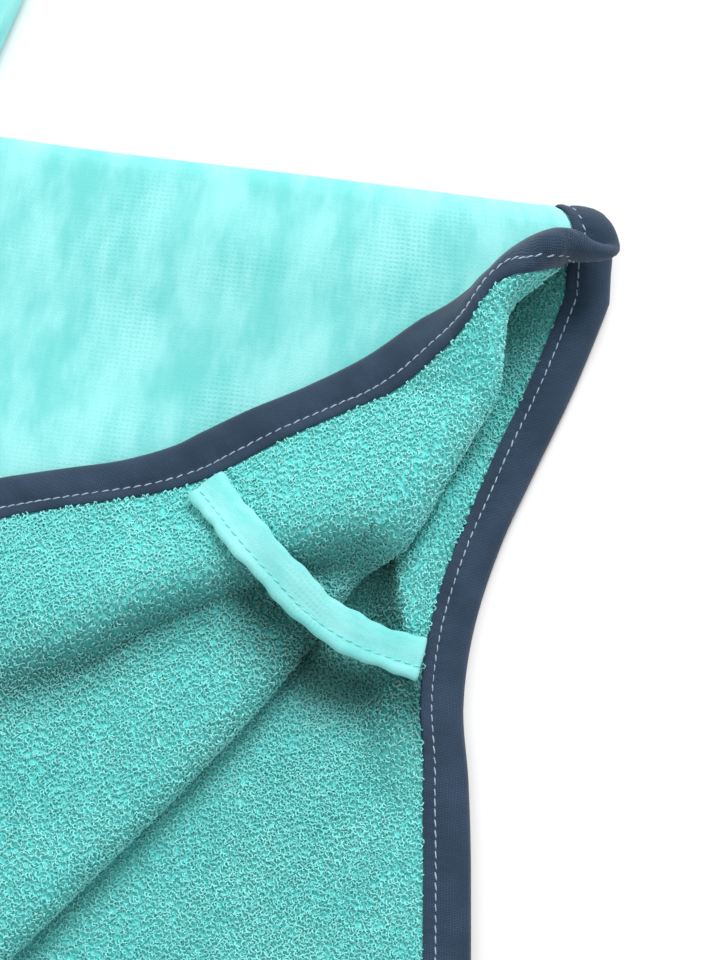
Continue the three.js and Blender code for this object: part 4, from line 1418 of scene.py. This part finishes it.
class Repeater:
    """A Geometry Nodes tree that repeats a shape on points and makes it one mesh."""

    INPUTS = (
        ("Shape", "NodeSocketObject"),
        ("Finish", "NodeSocketMaterial"),
        ("Smallest", "NodeSocketFloat"),
        ("Largest", "NodeSocketFloat"),
        ("Seed", "NodeSocketInt"),
    )

    def __init__(self) -> None:
        """Builds the tree."""
        tree = bpy.data.node_groups.new("repeat_on_points", "GeometryNodeTree")
        face = tree.interface
        face.new_socket("Geometry", in_out="INPUT", socket_type="NodeSocketGeometry")
        self.sockets = {
            name: face.new_socket(name, in_out="INPUT", socket_type=kind).identifier
            for name, kind in self.INPUTS
        }
        face.new_socket("Geometry", in_out="OUTPUT", socket_type="NodeSocketGeometry")
        self.tree = tree
        start = self.add("NodeGroupInput")
        end = self.add("NodeGroupOutput")
        shape = self.add("GeometryNodeObjectInfo")
        turn = self.add("GeometryNodeInputNamedAttribute", data_type="QUATERNION")
        turn.inputs["Name"].default_value = "turn"
        size = self.add("FunctionNodeRandomValue", data_type="FLOAT")
        place = self.add("GeometryNodeInstanceOnPoints")
        real = self.add("GeometryNodeRealizeInstances")
        paint = self.add("GeometryNodeSetMaterial")
        self.link(start, "Shape", shape, "Object")
        self.link(start, "Geometry", place, "Points")
        self.link(shape, "Geometry", place, "Instance")
        self.link(turn, "Attribute", place, "Rotation")
        numbers = [s for s in size.inputs if s.enabled]
        for name, socket in zip(("Smallest", "Largest"), numbers):
            tree.links.new(start.outputs[name], socket)
        self.link(start, "Seed", size, "Seed")
        tree.links.new(next(s for s in size.outputs if s.enabled), place.inputs["Scale"])
        self.link(place, "Instances", real, "Geometry")
        self.link(real, "Geometry", paint, "Geometry")
        self.link(start, "Finish", paint, "Material")
        self.link(paint, "Geometry", end, "Geometry")

    def add(self, kind: str, **settings: Any) -> bpy.types.Node:
        """Adds a node with settings.

        Args:
            kind: The node's type.
            settings: Its settings.

        Returns:
            The node.
        """
        node = self.tree.nodes.new(kind)
        for key, value in settings.items():
            setattr(node, key, value)
        return node

    def link(self, a: bpy.types.Node, out: str, b: bpy.types.Node, into: str) -> None:
        """Links two nodes by socket name."""
        self.tree.links.new(a.outputs[out], b.inputs[into])

    def run(
        self,
        name: str,
        points: Array,
        turns: Array,
        shape: bpy.types.Object,
        finish: bpy.types.Material,
        sizes: tuple[float, float] = (1.0, 1.0),
        seed: int = 1,
        hollow: Array | None = None,
    ) -> bpy.types.Object:
        """Repeats a shape.

        Args:
            name: Name of the new object.
            points: Places in millimetres of the garment.
            turns: Quaternions, w first.
            shape: The repeated object.
            finish: Its material.
            sizes: Smallest and largest scale.
            seed: Seed of the sizes.
            hollow: Share of painted shade at each place.

        Returns:
            The joined object.
        """
        base = bpy.data.meshes.new(name + "_points")
        base.from_pydata(((points + SHIFT) * MM).tolist(), [], [])
        turn = base.attributes.new("turn", "QUATERNION", "POINT")
        turn.data.foreach_set("value", turns.astype(np.float32).ravel())
        if hollow is not None:
            mark(base, hollow)
        holder = bpy.data.objects.new(name + "_points", base)
        bpy.context.scene.collection.objects.link(holder)
        modifier = holder.modifiers.new("repeat", "NODES")
        modifier.node_group = self.tree
        smallest, largest = sizes
        values = {
            "Shape": shape, "Finish": finish, "Smallest": smallest, "Largest": largest, "Seed": seed,
        }
        for key, value in values.items():
            modifier[self.sockets[key]] = value
        bpy.context.view_layer.update()
        result = holder.evaluated_get(bpy.context.evaluated_depsgraph_get())
        made = bpy.data.meshes.new_from_object(result)
        made.name = name
        holder.modifiers.remove(modifier)
        bpy.data.objects.remove(holder)
        obj = bpy.data.objects.new(name, made)
        bpy.context.scene.collection.objects.link(obj)
        return obj


def quaternions(x: Array, y: Array, z: Array) -> Array:
    """Quaternions, w first, of frames given by their unit axes."""
    out = [Matrix(m.T.tolist()).to_quaternion() for m in np.stack([x, y, z], axis=1)]
    return np.array([tuple(q) for q in out])


def framed(z: Array, along: Array, turn: Array | float = 0.0) -> Array:
    """Quaternions whose Z is a normal and whose X runs along, turned about Z.

    Args:
        z: Unit normals.
        along: Ways along.
        turn: Angles about Z.

    Returns:
        Quaternions, w first.
    """
    x = along - z * np.sum(along * z, axis=1, keepdims=True)
    x /= np.linalg.norm(x, axis=1, keepdims=True)
    y = np.cross(z, x)
    c, s = np.cos(turn), np.sin(turn)
    c, s = (np.broadcast_to(v, (len(z),))[:, None] for v in (c, s))
    return quaternions(x * c + y * s, y * c - x * s, z)


class StitchRun:
    """The shape of one stitch and rows of it."""

    def __init__(self, repeater: Repeater, thread: bpy.types.Material) -> None:
        """Makes the stitch.

        Args:
            repeater: Repeats it.
            thread: Its material.
        """
        u = np.linspace(-1, 1, 5)
        spine = np.stack([1.25 * u, 0.06 * np.sin(2 * u), 0.34 * (1 - u**4) - 0.22], axis=-1)
        self.shape = seed_object("stitch", *tube(THREAD_RADIUS, spine, 4))
        self.repeater = repeater
        self.thread = thread
        tonal = ThreadFinish("tonal_thread", colour(120, 218, 214), colour(146, 232, 229))
        self.tonal = tonal.material()

    def run(
        self,
        name: str,
        points: Array,
        normal: Array,
        along: Array,
        thread: bpy.types.Material | None = None,
    ) -> bpy.types.Object:
        """Makes stitches at points.

        Args:
            name: Name of the object.
            points: Middles of the stitches.
            normal: Ways out of the cloth.
            along: Ways along the row.
            thread: The thread, if not the usual one.

        Returns:
            The joined stitches.
        """
        rng = np.random.default_rng(len(points))
        slant = rng.normal(0.06, 0.05, len(points))
        turns = framed(normal, along, slant)
        return self.repeater.run(name, points, turns, self.shape, thread or self.thread)

    def on_binding(
        self,
        name: str,
        place: Callable[[Array, Array], Frames],
        span: float,
        sides: Sequence[Side],
    ) -> bpy.types.Object:
        """Rows along both faces of a binding.

        Args:
            name: Name of the object.
            place: The binding's frames at a length and an inset.
            span: Length of the binding.
            sides: The faces sewn.

        Returns:
            The joined stitches.
        """
        a = np.arange(STITCH_PITCH / 2, span, STITCH_PITCH)
        inset = np.full_like(a, STITCH_INSET)
        frames = place(a, inset)
        run = place(a + 0.5, inset).point - place(a - 0.5, inset).point
        parts = [
            (frames.moved(STITCH_RISE * side.value), frames.normal * side.value, run) for side in sides
        ]
        points, normals, runs = (np.vstack([p[k] for p in parts]) for k in range(3))
        return self.run(name, points, normals, runs)

    def on_strap(self, name: str, strap: Strap) -> bpy.types.Object:
        """A row on both faces of a strap.

        Args:
            name: Name of the object.
            strap: The strap.

        Returns:
            The joined stitches.
        """
        a = np.arange(2.5, strap.path.length - 1, STITCH_PITCH)
        p, side, up = strap.frames(a)
        along = strap.path.tangent(a)
        middle = p + side * STRAP_STITCH
        rise = strap.thick / 2 * 0.6
        points = np.vstack([middle + up * rise, middle - up * rise])
        return self.run(name, points, np.vstack([up, -up]), np.vstack([along, along]), self.tonal)


# Sweep in radians, half width and height of each loop shape
LOOP_SHAPES: Rows = ((5.0, 0.62, 0.95), (4.2, 0.74, 0.8), (5.7, 0.5, 1.05))
LOOP_SIZES = (0.82, 1.18)
YARN_RADIUS = 0.27


@dataclass
class TerryLoops:
    """Curled loops that stand on the looped side where the view shows it closely."""

    lay: Lay
    repeater: Repeater
    yarn: bpy.types.Material
    reach: Callable[[Array, Array], Array]
    spacing: float = 1.27

    def build(self) -> list[bpy.types.Object]:
        """Makes the loops.

        Returns:
            One object for each loop shape.
        """
        rng = np.random.default_rng(11)
        made = []
        x, t = self.places(rng)
        frames = self.lay.frames(x, t)
        lean = frames.normal + rng.normal(0, 0.16, frames.normal.shape)
        lean /= np.linalg.norm(lean, axis=1, keepdims=True)
        along = self.lay.mid(x, t + 0.5) - self.lay.mid(x, t - 0.5)
        turns = framed(lean, along, rng.uniform(0, 2 * math.pi, len(x)))
        points = frames.moved(CLOTH / 2 + rng.uniform(-0.12, 0.12, len(x)))
        # Painted shade for the loops in the crease, the pocket, beside the strap and under the shoulder tip
        hollow = self.lay.hollow(x, t)
        kind = rng.integers(0, len(LOOP_SHAPES), len(x))
        for index in range(len(LOOP_SHAPES)):
            on = kind == index
            shape = seed_object(f"loop_{index}", *tube(YARN_RADIUS, self.spine(index), 3))
            name = f"terry_loops_{index + 1}"
            made.append(
                self.repeater.run(
                    name, points[on], turns[on], shape, self.yarn, LOOP_SIZES, index + 3, hollow[on]
                )
            )
        return made

    def places(self, rng: np.random.Generator) -> tuple[Array, Array]:
        """Places of the loops on the cut, evenly spread with some disorder.

        Args:
            rng: Random numbers.

        Returns:
            Places x, t of the cut.
        """
        found = []
        for zone in (CLOSE_FRONT, CLOSE_BACK):
            x = np.arange(zone[0], zone[1], self.spacing)
            t = np.arange(zone[2], zone[3], self.spacing * ROW_SHARE)
            gx, gt = np.meshgrid(x, t)
            gx = gx + np.where(np.arange(len(t)) % 2, self.spacing / 2, 0)[:, None]
            found.append(np.stack([gx.ravel(), gt.ravel()], axis=-1))
        flat = np.vstack(found)
        flat += rng.uniform(-0.3, 0.3, flat.shape) * self.spacing
        keep = self.lay.edge_distance(flat[:, 0], flat[:, 1]) > BINDING_WIDTH + 0.5
        flat = flat[keep]
        return self.shown(flat[:, 0], flat[:, 1], rng)

    def shown(self, x: Array, t: Array, rng: np.random.Generator) -> tuple[Array, Array]:
        """Keeps the places that the open side shows, thinning out past the picture.

        Args:
            x: Across the cut.
            t: Along the cut.
            rng: Random numbers.

        Returns:
            The places kept.
        """
        half = math.pi * Lay.fold_radius(x) / 2
        a, d = self.lay.turn.locate(x, half - np.abs(t))
        width = math.pi * self.lay.turn_take(a)
        p = self.lay.mid(x, t)
        on_front = (t > 0) & (d > width * 0.2)
        under = self.lay.turn.locate(p[:, 0], p[:, 1])[1]
        on_back = (t < 0) & (under > -16)
        keep = (on_front | on_back) & self.reach(p, 1.02 + 0.16 * rng.uniform(0, 1, len(x)) ** 2)
        LOG.info("%d terry loops", keep.sum())
        return x[keep], t[keep]

    @staticmethod
    def spine(index: int) -> Array:
        """Middle line of a loop, a curl that starts and ends in the cloth.

        Args:
            index: Which of the loop shapes.

        Returns:
            Points along it.
        """
        sweep, wide, rise = LOOP_SHAPES[index]
        u = np.linspace(0, 1, 5)
        turn = sweep * (u - 0.5)
        z = rise * np.sin(math.pi * u) ** 0.6 - 0.3
        return np.stack([wide * np.sin(turn), wide * 0.85 * np.cos(turn) + 0.12 * u, z], axis=-1)


# Terry colours: painted light on the loops' tops, the middle tone, painted shade in the gaps between loops,
# and the painted shade of the crease, pocket, strap and shoulder tip
TEAL_LIT = colour(134, 236, 233)
TEAL_MID = colour(112, 226, 223)
TEAL_GAP_SHADE = colour(92, 212, 208)
TEAL_SHADE = colour(4, 92, 88)


@dataclass(frozen=True)
class TerryFinish:
    """The ground of the looped side, with bumps like loops, painted shade in the gaps between them and
    painted light on their tops.
    """

    name: str = "terry"

    def material(self) -> bpy.types.Material:
        """Builds the material.

        Returns:
            The material.
        """
        s = Shader(self.name)
        uv = s.node("UVMap", {"uv_map": "cut"}, {}, "UV")
        wander = s.noise(uv, 900, 2)
        cells = s.node(
            "TexVoronoi", {"feature": "F1"}, {"Vector": uv, "Scale": 640.0, "Randomness": 0.85}, "Distance"
        )
        curls = (cells * 11.0 + wander * 3.0).sin() * 0.5 + 0.5
        height = (1.0 - cells.eased(0.1, 0.75)) * 0.75 + curls * 0.25
        tone = s.noise(uv, 26, 3)
        # Painted shade in the low gaps between the bumps, and painted light on their tops mixed with random
        # tone
        deep = s.mix(height.eased(0.2, 0.75), TEAL_GAP_SHADE, TEAL_MID)
        base = s.mix((height * 0.7 + tone * 0.4).eased(0.45, 0.95), deep, TEAL_LIT)
        # Painted shade in the crease, the pocket, beside the strap and under the shoulder tip
        base = s.mix(s.hollow() * 0.9, base, TEAL_SHADE)
        bump = s.bump(height, 0.0011, 0.9)
        return s.finish(
            {"Base Color": base, "Roughness": 0.95, "Normal": bump, "Sheen Weight": 0.25,
             "Sheen Roughness": 0.5, "Specular IOR Level": 0.2}
        )


@dataclass(frozen=True)
class YarnFinish:
    """Yarn of the standing loops."""

    name: str = "loop_yarn"

    def material(self) -> bpy.types.Material:
        """Builds the material.

        Returns:
            The material.
        """
        s = Shader(self.name)
        place = s.node("TexCoord", {}, {}, "Object")
        patch = s.noise(place, 60, 3)
        fine = s.noise(place, 1500, 2)
        tint = s.mix(patch.eased(0.3, 0.7), colour(132, 238, 235), colour(156, 246, 243))
        base = s.mix(fine.eased(0.35, 0.7) * 0.35, tint, colour(104, 222, 218))
        # Painted shade on the loops in the crease, the pocket, beside the strap and under the shoulder tip
        base = s.mix(s.hollow() * 0.84, base, TEAL_SHADE)
        bump = s.bump(s.noise(place, 4200, 2), 0.00012, 0.6)
        return s.finish(
            {"Base Color": base, "Roughness": 0.9, "Normal": bump, "Sheen Weight": 0.3,
             "Sheen Roughness": 0.5, "Specular IOR Level": 0.2}
        )


@dataclass(frozen=True)
class VelourFinish:
    """Sheared pile: soft, with smears where the nap lies differently and faint weave rows."""

    name: str = "velour"
    tints: tuple[Colour, ...] = (
        colour(120, 219, 216), colour(164, 243, 242), colour(104, 205, 202)
    )

    def material(self) -> bpy.types.Material:
        """Builds the material.

        Returns:
            The material.
        """
        s = Shader(self.name)
        uv = s.node("UVMap", {"uv_map": "cut"}, {}, "UV")
        bent = s.placed(uv, (1.0, 0.62, 1.0), 0.5)
        smear = s.noise(bent, 46, 4, 0.55)
        brushed = s.noise(s.placed(uv, (1.0, 0.3, 1.0), -0.4), 130, 3, 0.6)
        across = s.node("SeparateXYZ", {}, {"Vector": uv}, "X")
        along = s.node("SeparateXYZ", {}, {"Vector": uv}, "Y")
        rows = (along * (2 * math.pi / 0.0014) + s.noise(uv, 240, 2) * 5.0).sin() * 0.5 + 0.5
        files = (across * (2 * math.pi / 0.0016) + s.noise(uv, 200, 2) * 4.0).sin() * 0.5 + 0.5
        worn = s.noise(uv, 22, 2).eased(0.46, 0.66)
        weave = (rows * files) ** 0.8 * (worn * 0.85 + 0.15)
        pile = s.noise(uv, 2600, 3, 0.7)
        shade = smear * 0.6 + brushed * 0.4
        base = s.mix(shade.eased(0.36, 0.64), self.tints[0], self.tints[1])
        base = s.mix(weave * 0.3 + (1.0 - pile.eased(0.3, 0.6)) * 0.22, base, self.tints[2])
        bump = s.bump(weave * 0.35 + pile * 0.65 + shade * 0.9, 0.00045, 0.7)
        return s.finish(
            {"Base Color": base, "Roughness": 0.92, "Normal": bump, "Sheen Weight": 0.35,
             "Sheen Roughness": 0.4, "Specular IOR Level": 0.2}
        )


@dataclass(frozen=True)
class BindingFinish:
    """Slate blue woven tape."""

    name: str = "woven_tape"

    def material(self) -> bpy.types.Material:
        """Builds the material.

        Returns:
            The material.
        """
        s = Shader(self.name)
        uv = s.node("UVMap", {"uv_map": "cut"}, {}, "UV")
        across = s.node("SeparateXYZ", {}, {"Vector": uv}, "X")
        along = s.node("SeparateXYZ", {}, {"Vector": uv}, "Y")
        pitch = 2 * math.pi / 0.00062
        drift = s.noise(uv, 500, 2)
        a = ((across + along) * pitch * 0.7 + drift * 3.0).sin()
        b = ((across - along) * pitch * 0.7 + drift * 3.0).sin()
        weave = (a * b) * 0.5 + 0.5
        fuzz = s.noise(uv, 2100, 3, 0.7)
        patch = s.noise(uv, 60, 3)
        base = s.mix(patch.eased(0.3, 0.7), colour(44, 68, 92), colour(66, 90, 118))
        base = s.mix((weave * 0.6 + fuzz * 0.5).eased(0.3, 0.9), colour(26, 46, 64), base)
        bump = s.bump(weave * 0.7 + fuzz * 0.5, 0.00018, 0.8)
        return s.finish(
            {"Base Color": base, "Roughness": 0.82, "Normal": bump, "Sheen Weight": 0.2,
             "Sheen Roughness": 0.5, "Specular IOR Level": 0.25}
        )


@dataclass(frozen=True)
class ThreadFinish:
    """Pale sewing thread."""

    name: str = "thread"
    dark: Colour = colour(150, 172, 196)
    pale: Colour = colour(184, 202, 220)

    def material(self) -> bpy.types.Material:
        """Builds the material.

        Returns:
            The material.
        """
        s = Shader(self.name)
        place = s.node("TexCoord", {}, {}, "Object")
        twist = s.node("SeparateXYZ", {}, {"Vector": place}, "X")
        other = s.node("SeparateXYZ", {}, {"Vector": place}, "Y")
        ply = ((twist + other) * (2 * math.pi / 0.0005)).sin() * 0.5 + 0.5
        tone = s.noise(place, 300, 2)
        base = s.mix(tone.eased(0.3, 0.7), self.dark, self.pale)
        base = s.mix(ply * 0.3, base, self.dark)
        bump = s.bump(ply, 0.00006, 0.6)
        return s.finish({"Base Color": base, "Roughness": 0.6, "Normal": bump})


@dataclass(frozen=True)
class FloorFinish:
    """Plain white ground."""

    name: str = "floor"

    def material(self) -> bpy.types.Material:
        """Builds the material.

        Returns:
            The material.
        """
        s = Shader(self.name)
        place = s.node("TexCoord", {}, {}, "Object")
        tone = s.noise(place, 3.0, 2)
        base = s.mix(tone, (0.9, 0.9, 0.9, 1.0), (0.94, 0.94, 0.94, 1.0))
        return s.finish({"Base Color": base, "Roughness": 0.9})


# Half the camera sensor's longer side, and the picture's width as a share of its height
SENSOR_HALF = 18.0
PICTURE_ASPECT = 720 / 960

# Half the floor's side, and how far it lies below the garment, in metres
FLOOR_HALF = 4.0
FLOOR_DROP = 0.0002


@dataclass
class Studio:
    """Floor, light and camera."""

    azimuth: float = 8.889
    elevation: float = 75.707
    distance: float = 0.65705
    target: tuple[float, float, float] = (232.963, -83.258, 10.0)
    lens: float = 85.0
    surround: float = 0.56

    def build(self) -> None:
        """Makes them all."""
        self.floor()
        self.light()
        self.camera()

    def axes(self) -> tuple[Array, Array, Array]:
        """The camera's ways right, up and back.

        Returns:
            The three unit ways.
        """
        a, e = math.radians(self.azimuth), math.radians(self.elevation)
        back = np.array([math.sin(a) * math.cos(e), -math.cos(a) * math.cos(e), math.sin(e)])
        right = np.array([math.cos(a), math.sin(a), 0.0])
        return right, np.cross(back, right), back

    def sees(self, points: Array, margin: Array) -> Array:
        """Whether points of the garment, in millimetres, are in the picture.

        Args:
            points: The points.
            margin: Share of the picture's half sides counted as in it.

        Returns:
            A flag for each.
        """
        right, up, back = self.axes()
        d = points - np.array(self.target) - back * self.distance / MM
        depth = -(d @ back)
        wide = SENSOR_HALF / self.lens * margin
        in_width = np.abs(d @ right) < depth * wide * PICTURE_ASPECT
        return in_width & (np.abs(d @ up) < depth * wide)

    def floor(self) -> None:
        """A plain floor."""
        mesh = bpy.data.meshes.new("floor")
        half, low = FLOOR_HALF, -FLOOR_DROP
        corners = [(-half, -half, low), (half, -half, low), (half, half, low), (-half, half, low)]
        mesh.from_pydata(corners, [], [(0, 1, 2, 3)])
        mesh.materials.append(FloorFinish().material())
        obj = bpy.data.objects.new("floor", mesh)
        bpy.context.scene.collection.objects.link(obj)

    def light(self) -> None:
        """Soft light from above and the right, over a bright even surrounding."""
        world = bpy.data.worlds.new("surrounding")
        world.use_nodes = True
        background = world.node_tree.nodes["Background"]
        background.inputs["Color"].default_value = (1.0, 1.0, 1.0, 1.0)
        background.inputs["Strength"].default_value = self.surround
        bpy.context.scene.world = world
        for name, place, size, power in (
            ("key", (0.55, 1.35, 1.15), 0.8, 27.0),
            ("fill", (-1.2, -0.8, 1.6), 1.8, 10.0),
        ):
            data = bpy.data.lights.new(name, "AREA")
            data.shape = "DISK"
            data.size = size
            data.energy = power
            obj = bpy.data.objects.new(name, data)
            obj.location = place
            way = Vector((0.2, 0.05, 0.0)) - Vector(place)
            obj.rotation_euler = way.to_track_quat("-Z", "Y").to_euler()
            bpy.context.scene.collection.objects.link(obj)

    def camera(self) -> None:
        """The camera, at the photo's angle."""
        back = Vector(self.axes()[2].tolist())
        target = Vector(((np.array(self.target) + SHIFT) * MM).tolist())
        data = bpy.data.cameras.new("camera")
        data.lens = self.lens
        data.clip_start = 0.01
        obj = bpy.data.objects.new("camera", data)
        obj.location = target + back * self.distance
        obj.rotation_euler = back.to_track_quat("Z", "Y").to_euler()
        bpy.context.scene.collection.objects.link(obj)
        bpy.context.scene.camera = obj
        bpy.context.scene.view_settings.view_transform = "Standard"


@dataclass
class Poncho:
    """The whole garment."""

    lay: Lay = field(default_factory=Lay)

    def build(self) -> None:
        """Makes and declares every piece."""
        terry, velour = TerryFinish().material(), VelourFinish().material()
        tape, thread = BindingFinish().material(), ThreadFinish().material()
        yarn = YarnFinish().material()
        repeater = Repeater()
        stitches = StitchRun(repeater, thread)
        self.body(terry, velour, tape, yarn, repeater, stitches)
        self.hood(terry, velour, tape, stitches)
        self.straps(velour, stitches)

    def place_edge(self, length: Array, inset: Array) -> Frames:
        """Frames of the body's binding.

        Args:
            length: Lengths along the cut edge.
            inset: Insets from it.

        Returns:
            The frames.
        """
        edge, inward = cut_edge(length)
        on = np.maximum(inset, LAST_INSET)
        p = edge + inward * on[:, None]
        frames = self.lay.frames(p[:, 0], p[:, 1])
        q = edge + inward * (on + 1)[:, None]
        way = self.lay.mid(p[:, 0], p[:, 1]) - self.lay.mid(q[:, 0], q[:, 1])
        beyond = (on - np.minimum(inset, on))[:, None]
        return Frames(frames.point + way * beyond, frames.normal)

    def body(
        self,
        terry: bpy.types.Material,
        velour: bpy.types.Material,
        tape: bpy.types.Material,
        yarn: bpy.types.Material,
        repeater: Repeater,
        stitches: StitchRun,
    ) -> None:
        """Makes the body cloth with its binding, stitches and loops.

        Args:
            terry: Finish of the looped side.
            velour: Finish of the smooth side.
            tape: Finish of the binding.
            yarn: Finish of the loops.
            repeater: Repeats the loops.
            stitches: Makes the rows.
        """
        cloth = BodyCloth(self.lay, terry, velour).build()
        lengths = edge_lengths(self.lay, 0.9, 8.0)
        strip = Binding(
            "body_binding_strip", self.place_edge, lengths, True, tape, ("body_binding",)
        ).build()
        sewn = stitches.on_binding("body_stitches", self.place_edge, PERIMETER, tuple(Side))
        loops = TerryLoops(self.lay, repeater, yarn, Studio().sees).build()
        extras = [Piece(sewn, "binding")] + [Piece(loop, "terry_velour") for loop in loops]
        for piece in (cloth, strip, *extras):
            piece.declare()

    def hood(
        self,
        terry: bpy.types.Material,
        velour: bpy.types.Material,
        tape: bpy.types.Material,
        stitches: StitchRun,
    ) -> None:
        """Makes the hood's halves and the binding of its face edge.

        Args:
            terry: Finish of the looped side.
            velour: Finish of the smooth side.
            tape: Finish of the binding.
            stitches: Makes the rows.
        """
        hood = Hood(self.lay)
        for mirror in (False, True):
            piece = HoodHalf(hood, mirror, terry, velour).build()
            piece.declare()
        span = 2 * hood.face.length
        place = hood_edge(hood)
        lengths = np.linspace(2, span - 2, int(span / 2.5))
        strip = Binding("hood_binding_strip", place, lengths, False, tape, ("hood_binding",)).build()
        sewn = stitches.on_binding("hood_stitches", place, span, tuple(Side))
        strip.declare()
        Piece(sewn, "binding").declare()

    def straps(self, velour: bpy.types.Material, stitches: StitchRun) -> None:
        """Makes the two side straps.

        Args:
            velour: Finish of the smooth side.
            stitches: Makes the rows.
        """
        flat_rows = [(x, -LEFT_STRAP_AT, z) for x, z in STRAP_LEFT]
        up = np.array([0.0, 0.0, 1.0])
        straps = (
            Strap("side_strap_right_velour", Path(STRAP_RIGHT, 1), lambda t: np.cross(up, t), velour,
                  ("side_strap_right",)),
            Strap("side_strap_left_velour", Path(flat_rows, 1),
                  lambda t: np.tile([0.0, 1.0, 0.0], (len(t), 1)), velour, ("side_strap_left",)),
        )
        for strap in straps:
            piece = strap.build()
            sewn = stitches.on_strap(strap.name + "_stitches", strap)
            piece.declare()
            Piece(sewn, "strap").declare()


def hood_edge(hood: Hood) -> Callable[[Array, Array], Frames]:
    """Frames of the hood's face binding.

    Args:
        hood: The hood's lay.

    Returns:
        A function that gives the frames at lengths and insets.
    """
    span = hood.face.length

    def place(length: Array, inset: Array) -> Frames:
        """Frames at lengths along the face edge, from the right neck to the left, and insets.

        Args:
            length: Lengths along the face edge.
            inset: Insets from it.

        Returns:
            The frames.
        """
        left = length > span
        s = np.clip(np.where(left, 2 * span - length, length) / span, 0, 1)
        on = np.maximum(inset, LAST_INSET)
        width = hood.face_width(s)
        frames = hood.frames(s, 3 - on / width)
        way = hood.mid(s, 3 - on / width) - hood.mid(s, 3 - (on + 1) / width)
        point = frames.point + way * (on - np.minimum(inset, on))[:, None]
        flip = np.where(left, -1.0, 1.0)
        turn = np.stack([flip, np.ones_like(flip), np.ones_like(flip)], axis=-1)
        return Frames(point * turn, frames.normal * turn)

    return place


def main() -> None:
    """Builds the garment and its surroundings."""
    logging.basicConfig(level=logging.INFO, format="%(message)s")
    Poncho().build()
    Studio().build()


if __name__ == "__main__":
    main()
